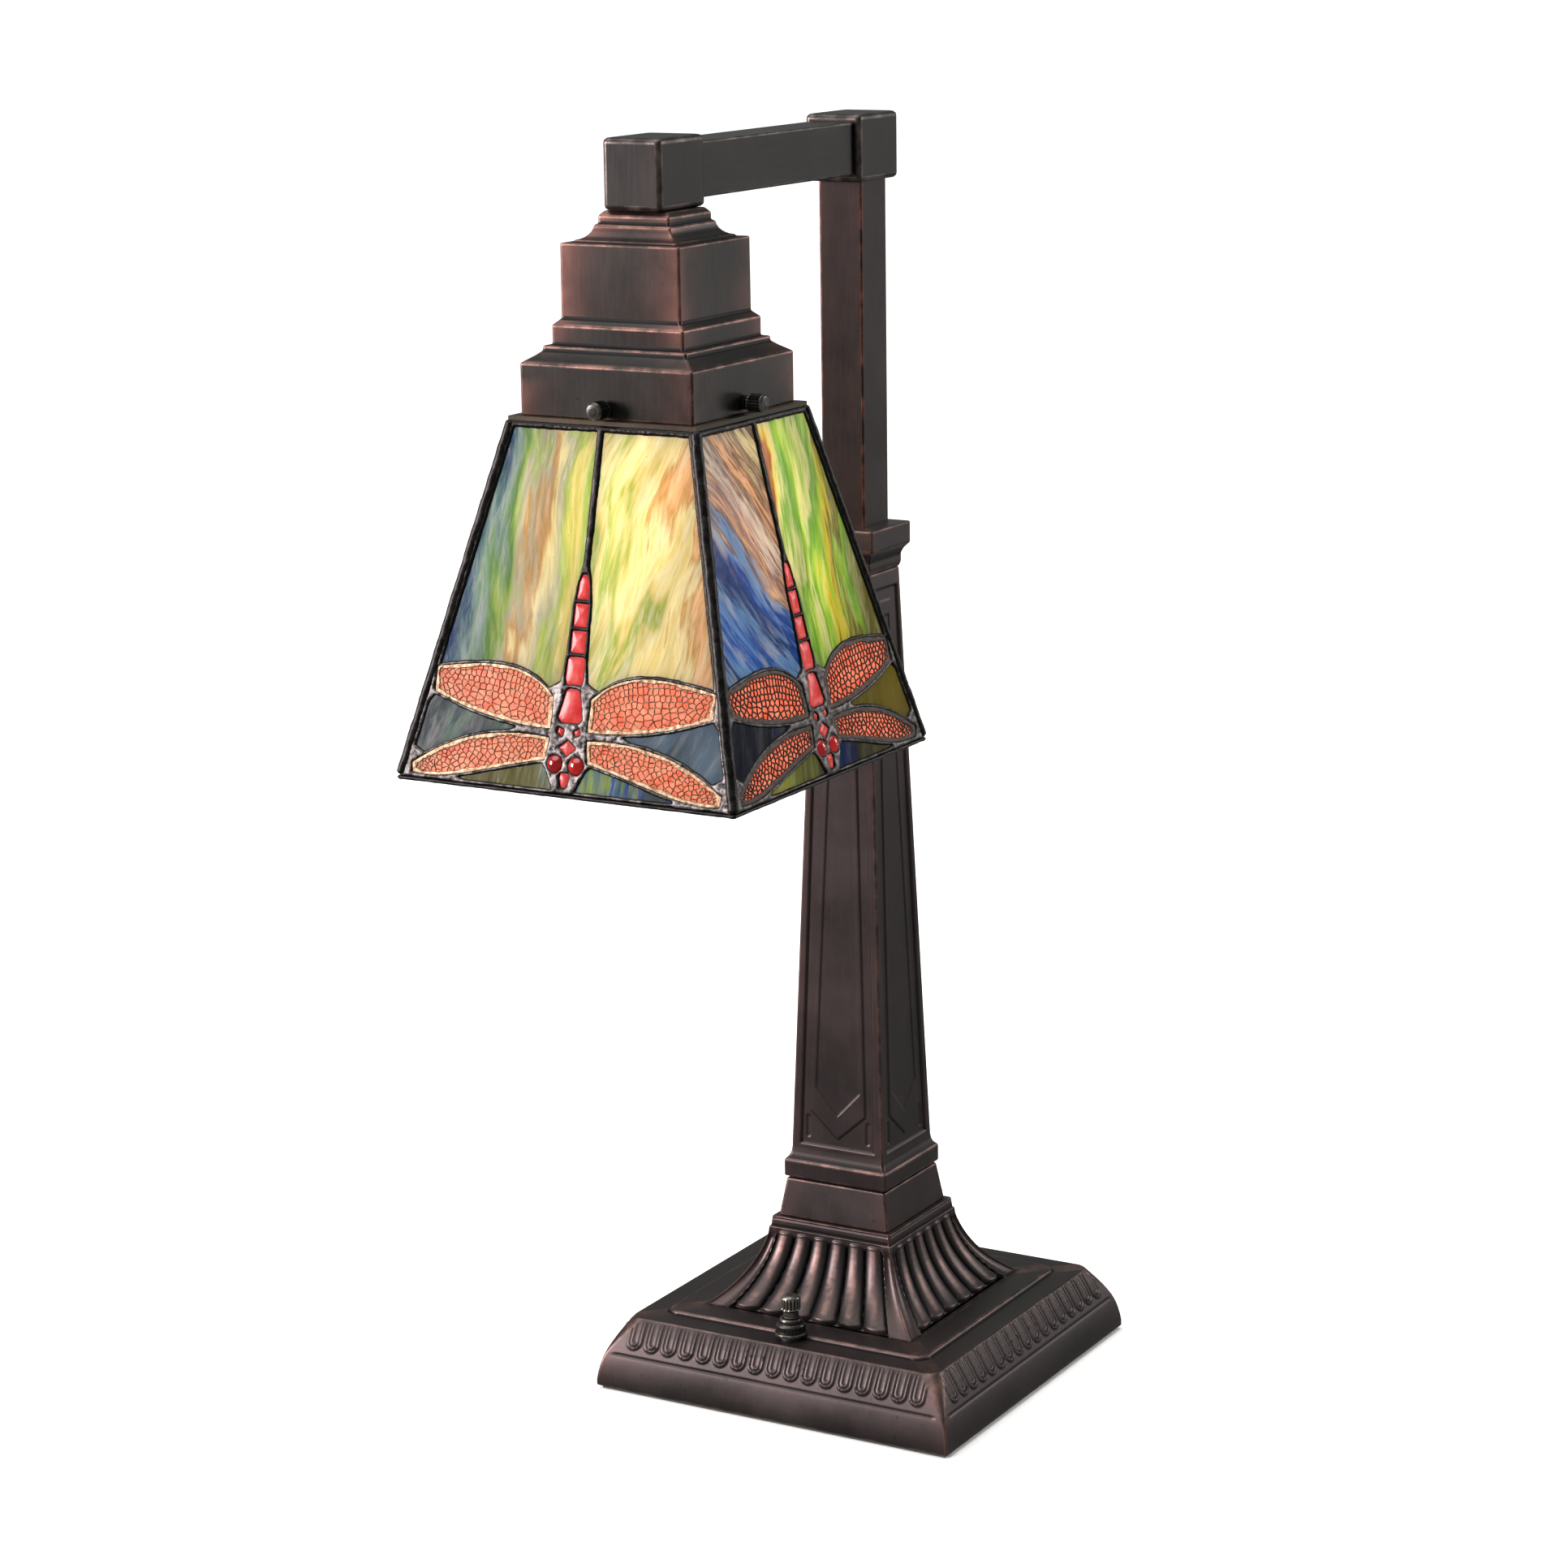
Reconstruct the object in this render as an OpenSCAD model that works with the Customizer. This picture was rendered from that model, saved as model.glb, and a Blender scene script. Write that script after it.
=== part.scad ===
// Square column table lamp with a leaded glass shade hung from a side arm.
// Millimetres, +Z up. Origin: centre of the base's underside.
// The arm and the shade point along -Y. Every square section is centred on the lamp's or the shade's axis.

/* [Base] */
// Half width of the base at its foot
base_w = 80; // [76:1:90]
// Height of the base's flat top
base_top_z = 29.4; // [28:0.2:31]
// Thickness of the base's cast walls
base_wall = 4.5; // [3.5:0.5:6]
// Thickness of the felt under the base
felt_t = 1.5; // [1:0.5:2]
// Thickness of the steel plate that closes the base
plate_t = 1.5; // [1:0.5:2]
// Half width of the raised pad on the base's top
pad_w = 59; // [55:1:62]

/* [Column] */
// Top of the reeded flare, where the neck block sits
neck_z = 66; // [65:0.5:67]
// Bottom of the column
column_z = 82.5; // [82:0.5:84]
// Top of the column, under its cap
shaft_top_z = 330.4; // [300:0.2:360]
// Half width of the shaft at its bottom
shaft_low_w = 20.9; // [20:0.1:22]
// Half width of the shaft at its top
shaft_high_w = 12.6; // [12:0.1:14]
// Height of the column's cap
cap_h = 17.9; // [17:0.1:19]

/* [Arm] */
// Overall height of the lamp
lamp_h = 508; // [490:1:530]
// Distance from the column's axis to the shade's axis
reach = 145.5; // [135:0.5:155]
// Half width of the square arm tubes across the lamp
tube_w = 9.3; // [9:0.1:10]
// Half depth of the square arm tubes
tube_d = 10; // [9.5:0.1:10.5]
// Wall of the arm tubes
tube_wall = 1.5; // [1:0.1:2]

/* [Shade] */
// Half width of the shade at its top
shade_top_w = 38.9; // [38:0.1:40]
// Half width of the shade at its bottom
shade_low_w = 70.1; // [68:0.1:72]
// Height of the shade's top edge
shade_top_z = 410; // [408:0.5:412]
// Height of the shade's bottom edge
shade_low_z = 284; // [280:1:288]
// Thickness of the glass
glass_t = 3; // [2.5:0.1:3]
// How far the solder seams stand proud of the glass on each side
seam_proud = 0.2; // [0.1:0.1:0.4]
// Thickness of the wing filigree
filigree_t = 0.4; // [0.3:0.1:0.6]

/* [Fasteners] */
// Radius of the threaded lamp pipe
pipe_r = 4.85; // [4.5:0.05:5]
// Radius of the shanks of the thumbscrews and of the switch's knob
shank_r = 2; // [1.5:0.1:2.2]
// Radial clearance of a turning shank
running_gap = 0.05; // [0.02:0.01:0.08]
// Radius of the hole for the supply cord
cord_hole_r = 3.6; // [3:0.1:4]

/* [Hidden] */
$fn = 64;
FACES = ["front", "right", "back", "left"];

bronze = "#4c423b";
gunmetal = "#3a3a3c";
lead = "#56575a";
brass = "#b08d4c";
steel = "#9a9a9e";

eps = 0.01;
bore_r = pipe_r + 0.15;
pipe_bore_r = 3.2;

// Base
foot_z = felt_t;
ovolo_r = 51;
ovolo_from = 7;
ovolo_to = 38;
ovolo_c = [base_w - ovolo_r * cos(ovolo_from), base_top_z - 0.2 - ovolo_r * sin(ovolo_to)];
pad_z = base_top_z + 1.5;
flare_low_w = 48;
flare_r = 49;
flare_from = 54;
flare_to = 14;
flare_lip_w = 28.2;
flare_top_w = 27.2;
flare_c = [76, 70.8];
base_roof_z = base_top_z - base_wall;
flare_roof_z = 60;
boss_at = 58;
boss_r = 5;
screw_r = 1.95;
screw_depth = 11;
stem_hole_r = 4.5;
screw_head_r = 3.5;
plate_z = foot_z + plate_t;

// Cord inlet and switch
inlet_z = 12;
grommet_flange_r = 7;
grommet_body_r = 5;
grommet_y = [71, 77, 79];
switch_y = -60;
switch_size = [22, 12, 12];
switch_nut_h = 7;
knob_gap = 0.3;
knob_r = 4;
knob_h = 6;
knob_stem = 3.2;
knob_stem_r = 3.2;
switch_nut_r = 6.5;
bushing_r = 4.4;
wire_nut_y = 46;
wire_apart = 10;
wire_low_z = 15;

// Column
plinth_w = [25, 22.6];
plinth_top_w = 21.5;
collar_w = 23.3;
collar_top_z = 89.5;
shaft_z = 94.6;
panel_depth = 0.8;
panel_z = [97, 324];
panel_inset = 4;
cap_z = shaft_top_z + cap_h;
cap_w = 16;
cap_neck_w = 13.3;
cap_floor_z = shaft_top_z + 5;
washer_r = 8.4;
washer_t = 1.2;
nut_h = 4.5;
nut_r = 8;
tube_seat = 6;
arm_seat = 5;

// Arm
block_z = lamp_h - 25.6;
block_size = [23.8, 31, 25.6];
block_round = 2;
arm_z = block_z + block_size[2] / 2;
wire_r = 1.6;
wire_way_r = 6;

// Holder, socket and bulb
holder_z = shade_top_z + 1.5;
skirt_w = 35.6;
skirt_in_w = 33;
holder_roof_z = 474;
collar_in_w = 31.4;
collar_out_w = 32.6;
socket_top_z = 469;
socket_low_z = 412;
socket_r = 16;
socket_cap_z = [450, 464];
shell_h = 46;
shell_wall = 0.7;
liner_r = 13.3;
bulb_base_r = 13.1;
bulb_base_h = 25;
bulb_r = 30;
bulb_z = 361;
bulb_neck_r = 12.6;
bulb_neck_z = 418;
bulb_wall = 1;
screw_z = holder_z + 4;
thumb_r = 3.3;
thumb_h = 8.5;
thumb_neck_h = 1.5;

// Shade
seam_t = glass_t + 2 * seam_proud;
drop = shade_top_z - shade_low_z;
slant = sqrt(pow(drop, 2) + pow(shade_low_w - shade_top_w, 2));
tilt = atan((shade_low_w - shade_top_w) / drop);
edge_seam = 3.6;
seam = 1.5;
bead_r = 2;
bead_in = 0.8;
rim_h = 1.6;
rim_in = 4.4;
curve_steps = 14;
wing_root = 8;
eye_r = 2.9;
eye_at = [4.4, 119.3];

// The wings' edges as Bezier curves from root to tip: [across from the middle, down the slope]
upper_top = [[8, 96], [20, 84.5], [34, 85.5], [57.5, 89.5]];
upper_low = [[8, 107], [24, 107], [40, 104.5], [57.5, 98]];
lower_top = [[8, 110.5], [28, 109], [46, 112], [64, 124.5]];
lower_low = [[9, 118], [30, 122], [50, 130], [63.5, 127.5]];

// Point on a cubic Bezier curve
function bezier(c, t) =
  pow(1 - t, 3) * c[0] + 3 * t * pow(1 - t, 2) * c[1] + 3 * t * t * (1 - t) * c[2] + pow(t, 3) * c[3];
// Points along a curve from t = a to t = b, moved down the slope by shift
function along(c, a, b, shift = 0) =
  [for (i = [0:curve_steps]) bezier(c, a + (b - a) * i / curve_steps) + [0, shift]];
// Points on an arc
function arc(centre, r, from, to, steps) =
  [for (i = [0:steps]) let (a = from + (to - from) * i / steps) centre + r * [cos(a), sin(a)]];
// Half width of a face of the shade at a distance down its slope
function face_w(down) = shade_top_w + (shade_low_w - shade_top_w) * down / slant;
// Half width of the shaft at a height
function shaft_w(z) =
  shaft_low_w + (shaft_high_w - shaft_low_w) * (z - shaft_z) / (shaft_top_z - shaft_z);
// Mirror image of a list of points about the vertical axis
function mirrored(points) = [for (p = points) [-p[0], p[1]]];
function reversed(points) = [for (i = [len(points) - 1:-1:0]) points[i]];

// Solid with a square plan whose four sides follow one profile of [half width, height] points
module squared(profile) {
  span = 2 * max([for (p = profile) p[0]]) + 2;
  outline = concat(profile, reversed(mirrored(profile)));
  intersection() {
    rotate([90, 0, 0]) linear_extrude(height = span, center = true) polygon(outline);
    rotate([90, 0, 90]) linear_extrude(height = span, center = true) polygon(outline);
  }
}

module rounded_square(size, r) {
  square([size[0] - 2 * r, size[1]], center = true);
  square([size[0], size[1] - 2 * r], center = true);
  for (x = [-1, 1], y = [-1, 1])
    translate([x * (size[0] / 2 - r), y * (size[1] / 2 - r)]) circle(r = r);
}

// Block with rounded edges, centred
module rounded_block(size, r) {
  intersection() {
    linear_extrude(height = size[2], center = true) rounded_square([size[0], size[1]], r);
    rotate([90, 0, 0])
      linear_extrude(height = size[1], center = true) rounded_square([size[0], size[2]], r);
    rotate([90, 0, 90])
      linear_extrude(height = size[0], center = true) rounded_square([size[1], size[2]], r);
  }
}

// Square tube standing on z = 0
module square_tube(h) {
  linear_extrude(height = h)
    difference() {
      square([2 * tube_w, 2 * tube_d], center = true);
      square([2 * (tube_w - tube_wall), 2 * (tube_d - tube_wall)], center = true);
    }
}

module pipe(z, h) {
  translate([0, 0, z])
    difference() {
      cylinder(h = h, r = pipe_r);
      translate([0, 0, -1]) cylinder(h = h + 2, r = pipe_bore_r);
    }
}

module hex_nut(z) {
  translate([0, 0, z])
    difference() {
      cylinder(h = nut_h, r = nut_r, $fn = 6);
      translate([0, 0, -1]) cylinder(h = nut_h + 2, r = pipe_r);
    }
}

module at_shade() {
  translate([0, -reach, 0]) children();
}

// Places a drawing in a face's plane: X across, Y up the slope from the top edge, Z out of the shade
module on_face(turn) {
  at_shade()
    rotate([0, 0, 90 * turn])
      translate([0, -shade_top_w, shade_top_z])
        rotate([90 - tilt, 0, 0]) children();
}

// Outline given as [across, down] points, on both sides of the face's middle
module both_sides(points) {
  polygon([for (p = points) [p[0], -p[1]]]);
  polygon([for (p = points) [-p[0], -p[1]]]);
}

module centred(points) {
  polygon([for (p = points) [p[0], -p[1]]]);
}

// Base

module base_outer() {
  squared(concat([[base_w, foot_z]], arc(ovolo_c, ovolo_r, ovolo_from, ovolo_to, 8), [[69, base_top_z]]));
  squared([[pad_w, base_top_z - 1], [pad_w, pad_z - 0.5], [pad_w - 0.5, pad_z]]);
}

module base_hollow() {
  squared(concat(
    [[base_w - base_wall, foot_z - 1], [base_w - base_wall, plate_z + 0.5]],
    arc(ovolo_c, ovolo_r - base_wall, ovolo_from, 34, 6),
    [[67, base_roof_z]]
  ));
}

module base_casting() {
  color(bronze)
    difference() {
      union() {
        difference() {
          base_outer();
          base_hollow();
        }
        for (x = [-1, 1], y = [-1, 1])
          translate([x * boss_at, y * boss_at, plate_z])
            cylinder(h = base_roof_z - plate_z + 1, r = boss_r);
      }
      for (x = [-1, 1], y = [-1, 1])
        translate([x * boss_at, y * boss_at, 0]) cylinder(h = foot_z + screw_depth + 1.5, r = screw_r);
      translate([0, 0, base_roof_z - 1]) cylinder(h = 10, r = bore_r);
      translate([0, switch_y, base_roof_z - 1]) cylinder(h = 10, r = stem_hole_r);
      translate([0, grommet_y[0] - 4, inlet_z])
        rotate([-90, 0, 0]) cylinder(h = 20, r = grommet_body_r);
      translate([0, grommet_y[1], inlet_z])
        rotate([-90, 0, 0]) cylinder(h = 10, r = grommet_flange_r);
    }
}

// Hollow concave flare that stands on the pad
module base_flare() {
  color(bronze)
    difference() {
      squared(concat(
        [[flare_low_w, pad_z]],
        arc(flare_c, -flare_r, flare_from, flare_to, 10),
        [[flare_lip_w, 61.4], [flare_top_w, 61.9], [flare_top_w, neck_z]]
      ));
      squared([[40, pad_z - 1], [40, pad_z + 1], [29, 42], [22, flare_roof_z]]);
      translate([0, 0, flare_roof_z - 1]) cylinder(h = 10, r = bore_r);
    }
}

module base_plate() {
  side = 2 * (base_w - base_wall) - 0.2;
  color(steel)
    difference() {
      translate([-side / 2, -side / 2, foot_z]) cube([side, side, plate_t]);
      for (x = [-1, 1], y = [-1, 1])
        translate([x * boss_at, y * boss_at, 0]) cylinder(h = 10, r = screw_head_r);
    }
}

module base_felt() {
  side = 2 * base_w - 4;
  color("#2c3a2e") translate([-side / 2, -side / 2, 0]) cube([side, side, felt_t]);
}

module plate_screws() {
  color(steel)
    for (x = [-1, 1], y = [-1, 1])
      translate([x * boss_at, y * boss_at, foot_z]) {
        cylinder(h = plate_t, r = screw_head_r);
        cylinder(h = screw_depth, r = screw_r);
      }
}

module cord_grommet() {
  color("#1c1c1c")
    difference() {
      union() {
        translate([0, grommet_y[0], inlet_z])
          rotate([-90, 0, 0]) cylinder(h = grommet_y[1] - grommet_y[0] + 0.5, r = grommet_body_r);
        translate([0, grommet_y[1], inlet_z])
          rotate([-90, 0, 0]) cylinder(h = grommet_y[2] - grommet_y[1], r = grommet_flange_r);
      }
      translate([0, grommet_y[0] - 1, inlet_z])
        rotate([-90, 0, 0]) cylinder(h = 20, r = cord_hole_r);
    }
}

// Switch

module switch_body() {
  color("#202020")
    difference() {
      union() {
        translate([-switch_size[0] / 2, switch_y - switch_size[1] / 2, base_roof_z - switch_size[2]])
          cube(switch_size);
        translate([0, switch_y, base_roof_z - 1]) cylinder(h = pad_z - base_roof_z + 5, r = bushing_r);
      }
      translate([0, switch_y, base_roof_z - 6]) cylinder(h = 30, r = shank_r + running_gap);
    }
}

module switch_nut() {
  color(gunmetal)
    difference() {
      translate([0, switch_y, pad_z]) cylinder(h = switch_nut_h, r = switch_nut_r);
      translate([0, switch_y, pad_z - 1]) cylinder(h = 5, r = bushing_r);
      translate([0, switch_y, pad_z - 1]) cylinder(h = 20, r = shank_r + running_gap);
    }
}

module switch_knob() {
  knob_z = pad_z + switch_nut_h + knob_gap;
  color(steel) {
    translate([0, switch_y, base_roof_z - 5]) cylinder(h = knob_z - base_roof_z + 6, r = shank_r);
    translate([0, switch_y, knob_z]) cylinder(h = knob_stem, r = knob_stem_r);
    translate([0, switch_y, knob_z + knob_stem - eps]) cylinder(h = knob_h, r = knob_r);
  }
}

module wire_nuts() {
  color("#c8a23c")
    for (x = [-wire_apart, wire_apart])
      translate([x, wire_nut_y, inlet_z]) rotate([-90, 0, 0]) cylinder(h = 16, r1 = 5, r2 = 3.5);
}

// Straight run of wire between two points that differ along one axis
module wire_run(from, to) {
  way = to - from;
  turn = way[1] != 0 ? [way[1] > 0 ? -90 : 90, 0, 0] : [0, way[2] < 0 ? 180 : 0, 0];
  translate(from) sphere(r = wire_r);
  translate(from) rotate(turn) cylinder(h = norm(way), r = wire_r);
  translate(to) sphere(r = wire_r);
}

module lamp_wire() {
  behind_switch = switch_y + switch_size[1] / 2 + wire_r;
  color("#d8c79a") {
    for (x = [-wire_apart, wire_apart])
      wire_run([x, behind_switch, inlet_z], [x, wire_nut_y - wire_r - 0.1, inlet_z]);
    wire_run([0, behind_switch, wire_low_z], [0, 0, wire_low_z]);
    wire_run([0, 0, wire_low_z], [0, 0, arm_z]);
    wire_run([0, 0, arm_z], [0, -reach, arm_z]);
    wire_run([0, -reach, arm_z], [0, -reach, socket_top_z - 3]);
  }
}

// Column

module column_plinth() {
  color(bronze)
    difference() {
      squared([
        [plinth_w[0], neck_z], [plinth_w[1], column_z - 1], [plinth_top_w, column_z - 0.8],
        [plinth_top_w, column_z]
      ]);
      translate([0, 0, neck_z - 1]) cylinder(h = 30, r = bore_r);
    }
}

module column_outer() {
  squared([
    [collar_w, column_z], [collar_w, collar_top_z], [22, 90.6], [21.2, 92.4],
    [shaft_low_w, shaft_z], [shaft_high_w, shaft_top_z]
  ]);
}

// Shallow panel let into one face of the shaft, following its taper
module shaft_panel(turn) {
  lean = atan((shaft_low_w - shaft_high_w) / (shaft_top_z - shaft_z));
  low = shaft_w(panel_z[0]);
  high = shaft_w(panel_z[1]);
  length = (panel_z[1] - panel_z[0]) / cos(lean);
  rotate([0, 0, 90 * turn])
    translate([0, -low, panel_z[0]])
      rotate([90 - lean, 0, 0])
        translate([0, 0, -panel_depth])
          linear_extrude(height = 5)
            polygon([
              [-low + panel_inset, 0], [low - panel_inset, 0],
              [high - panel_inset / 2, length], [-high + panel_inset / 2, length]
            ]);
}

module column_shaft() {
  color(bronze)
    difference() {
      column_outer();
      squared([[shaft_low_w - 4, column_z + 6], [shaft_high_w - 4, shaft_top_z - 5]]);
      for (i = [0:3]) shaft_panel(i);
      translate([0, 0, column_z - 1]) cylinder(h = 260, r = bore_r);
    }
}

module column_cap() {
  color(bronze)
    difference() {
      squared([
        [shaft_high_w, shaft_top_z], [cap_neck_w, shaft_top_z + 2], [cap_neck_w, shaft_top_z + 5.4],
        [cap_w, shaft_top_z + 9.4], [cap_w, cap_z]
      ]);
      translate([0, 0, shaft_top_z - 1]) cylinder(h = 20, r = bore_r);
      translate([0, 0, cap_floor_z]) cylinder(h = 10, r = washer_r + 0.2);
      translate([-tube_w, -tube_d, cap_z - tube_seat]) cube([2 * tube_w, 2 * tube_d, tube_seat + 1]);
    }
}

module tie_pipe() {
  low = base_roof_z - 8;
  color(steel) pipe(low, shaft_top_z + 11 - low);
}

module pipe_washers() {
  color(steel)
    for (z = [base_roof_z - washer_t, cap_floor_z])
      translate([0, 0, z])
        difference() {
          cylinder(h = washer_t, r = washer_r);
          translate([0, 0, -1]) cylinder(h = 5, r = bore_r);
        }
}

module pipe_nuts() {
  color(steel) {
    hex_nut(base_roof_z - washer_t - nut_h);
    hex_nut(cap_floor_z + washer_t);
  }
}

// Arm

module upright_tube() {
  color(gunmetal)
    translate([0, 0, cap_z - tube_seat]) square_tube(block_z + tube_seat - (cap_z - tube_seat));
}

// Corner casting that joins the arm tube to what is below it; facing is 1 when the arm leaves along +Y
module corner_block(facing, below) {
  difference() {
    translate([0, 0, arm_z]) rounded_block(block_size, block_round);
    translate([0, 0, arm_z])
      rotate([facing > 0 ? -90 : 90, 0, 0]) cylinder(h = 20, r = wire_way_r);
    translate([0, 0, block_z - 1]) cylinder(h = arm_z - block_z + 1, r = below);
    translate([-tube_w, facing > 0 ? block_size[1] / 2 - arm_seat : -block_size[1] / 2 - 1, arm_z - tube_d])
      cube([2 * tube_w, arm_seat + 1, 2 * tube_d]);
    translate([0, 0, arm_z]) sphere(r = wire_way_r);
  }
}

module elbow_block() {
  color(gunmetal)
    difference() {
      corner_block(-1, wire_way_r);
      translate([-tube_w, -tube_d, block_z - 1]) cube([2 * tube_w, 2 * tube_d, tube_seat + 1]);
    }
}

module arm_tube() {
  gap = block_size[1] / 2 - arm_seat;
  color(gunmetal)
    translate([0, -gap, arm_z]) rotate([90, 0, 0]) square_tube(reach - 2 * gap);
}

module head_block() {
  color(gunmetal) at_shade() corner_block(1, pipe_r);
}

// Holder, socket and bulb

module head_nipple() {
  color(steel) at_shade() pipe(socket_top_z - 3, block_z + 6 - socket_top_z + 3);
}

module holder_outer() {
  squared(concat(
    [
      [skirt_w, holder_z], [skirt_w, 429.8], [31.9, 432.3], [29.6, 434], [29.6, 435.6], [27.2, 436],
      [27.2, 443], [24.6, 445.2], [24.6, 471], [21.4, 471.6]
    ],
    arc([21.4, 478], 5.6, 264, 186, 6),
    [[14.7, 478], [14.7, 480.6], [13, block_z]]
  ));
}

module shade_holder() {
  color(bronze)
    at_shade()
      difference() {
        holder_outer();
        squared([
          [skirt_in_w, holder_z - 1], [skirt_in_w, 427.5], [24.6, 432.6], [24.6, 441.5], [21.8, 445],
          [21.8, 467.5], [12, holder_roof_z]
        ]);
        translate([0, 0, holder_roof_z - 1]) cylinder(h = 20, r = pipe_r);
        for (i = [0:3])
          rotate([0, 0, 90 * i])
            translate([0, 0, screw_z])
              rotate([90, 0, 0]) cylinder(h = skirt_w + 5, r = shank_r + running_gap);
      }
}

// Thumbscrew through one side of the holder's skirt
module thumbscrew(turn) {
  tip = collar_out_w + 0.05;
  head_y = skirt_w + 0.3;
  color(gunmetal)
    at_shade()
      rotate([0, 0, 90 * turn])
        translate([0, 0, screw_z])
          rotate([90, 0, 0]) {
            translate([0, 0, tip]) cylinder(h = head_y - tip + 1, r = shank_r);
            translate([0, 0, head_y]) cylinder(h = thumb_neck_h, r = 2.6);
            translate([0, 0, head_y + thumb_neck_h - eps]) cylinder(h = thumb_h - thumb_neck_h, r = thumb_r);
          }
}

module socket_cap() {
  color(brass)
    at_shade()
      difference() {
        union() {
          translate([0, 0, socket_cap_z[0]])
            cylinder(h = socket_cap_z[1] - socket_cap_z[0], r = socket_r + 0.9);
          translate([0, 0, socket_cap_z[1] - eps])
            cylinder(h = socket_top_z - socket_cap_z[1], r1 = socket_r + 0.9, r2 = 10);
        }
        translate([0, 0, socket_cap_z[0] - 1])
          cylinder(h = socket_cap_z[1] - socket_cap_z[0] + 1, r = socket_r);
        translate([0, 0, socket_cap_z[1] - 1]) cylinder(h = 10, r = pipe_r);
      }
}

module socket_shell() {
  color(brass)
    at_shade()
      translate([0, 0, socket_low_z])
        difference() {
          cylinder(h = shell_h, r = socket_r - 0.05);
          translate([0, 0, -1]) cylinder(h = shell_h + 2, r = socket_r - 0.05 - shell_wall);
        }
}

module socket_insulator() {
  color("#efece2")
    at_shade()
      translate([0, 0, socket_low_z + 2])
        difference() {
          cylinder(h = shell_h - 2, r = socket_r - 0.1 - shell_wall);
          translate([0, 0, -1]) cylinder(h = shell_h - 12, r = liner_r);
        }
}

module bulb_base() {
  color(brass)
    at_shade() {
      translate([0, 0, bulb_neck_z]) cylinder(h = bulb_base_h, r = bulb_base_r);
      translate([0, 0, bulb_neck_z + bulb_base_h - eps]) cylinder(h = 3, r1 = 9, r2 = 4);
    }
}

// Half section of the bulb's envelope, from the neck down to the tip
function bulb_section(shrink) =
  concat(
    [[bulb_neck_r - shrink, bulb_neck_z], [bulb_neck_r + 0.6 - shrink, bulb_neck_z - 8]],
    arc([0, bulb_z], bulb_r - shrink, 40, -90, 16)
  );

module bulb_glass() {
  color("#f4f0e4")
    at_shade()
      rotate_extrude()
        polygon(concat(bulb_section(0), reversed(bulb_section(bulb_wall))));
}

module shade_collar() {
  color(brass)
    at_shade()
      difference() {
        squared([
          [shade_top_w, shade_top_z], [shade_top_w, holder_z], [collar_out_w, holder_z],
          [collar_out_w, holder_z + 12]
        ]);
        squared([[collar_in_w, shade_top_z - 1], [collar_in_w, holder_z + 13]]);
      }
}

// Shade

module corner_rods(r) {
  run = (shade_low_w - shade_top_w) * sqrt(2);
  at_shade()
    intersection() {
      for (i = [0:3])
        rotate([0, 0, 90 * i])
          translate([shade_low_w - bead_in, shade_low_w - bead_in, shade_low_z])
            rotate([0, atan(run / drop), 225])
              translate([0, 0, -5]) cylinder(h = slant + 15, r = r);
      translate([-100, -100, shade_low_z]) cube([200, 200, drop]);
    }
}

module corner_beads() {
  color(lead) corner_rods(bead_r);
}

module bottom_rim() {
  color(lead)
    at_shade()
      difference() {
        squared([
          [shade_low_w + 0.2, shade_low_z - rim_h], [shade_low_w + 0.5, shade_low_z - 0.8],
          [shade_low_w + 0.2, shade_low_z]
        ]);
        squared([[shade_low_w - rim_in, shade_low_z - 5], [shade_low_w - rim_in, shade_low_z + 5]]);
      }
}

// The quarter of the shade's height band that belongs to one face
module quarter(turn) {
  at_shade()
    rotate([0, 0, 90 * turn])
      translate([0, 0, shade_low_z])
        linear_extrude(height = drop) polygon([[0, 0], [-100, -100], [100, -100]]);
}

module face_outline() {
  polygon([[-90, -slant - 10], [90, -slant - 10], [90, 10], [-90, 10]]);
}

module tall_outline() {
  both_sides(concat(
    [[seam, 2.4], [face_w(2.4) - edge_seam, 2.4], [face_w(88.5) - edge_seam, 88.5]],
    along(upper_top, 0.97, 0.06, -seam),
    [[5.6, 90], [4.6, 80], [4, 62], [seam, 50]]
  ));
}

module low_outlines() {
  both_sides(concat(
    along(upper_low, 0.3, 1, seam),
    [[face_w(102) - edge_seam, 102], [face_w(118) - edge_seam, 118]],
    along(lower_top, 0.92, 0.3, -seam)
  ));
  both_sides(concat(
    along(lower_low, 0.02, 0.6, seam),
    [[face_w(slant) * 0.6, slant - seam], [5, slant - seam], [8.4, 121.5]]
  ));
}

module wing_outlines() {
  both_sides(concat(along(upper_top, 0, 1), reversed(along(upper_low, 0, 1))));
  both_sides(concat(along(lower_top, 0, 1), reversed(along(lower_low, 0, 1))));
}

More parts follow.
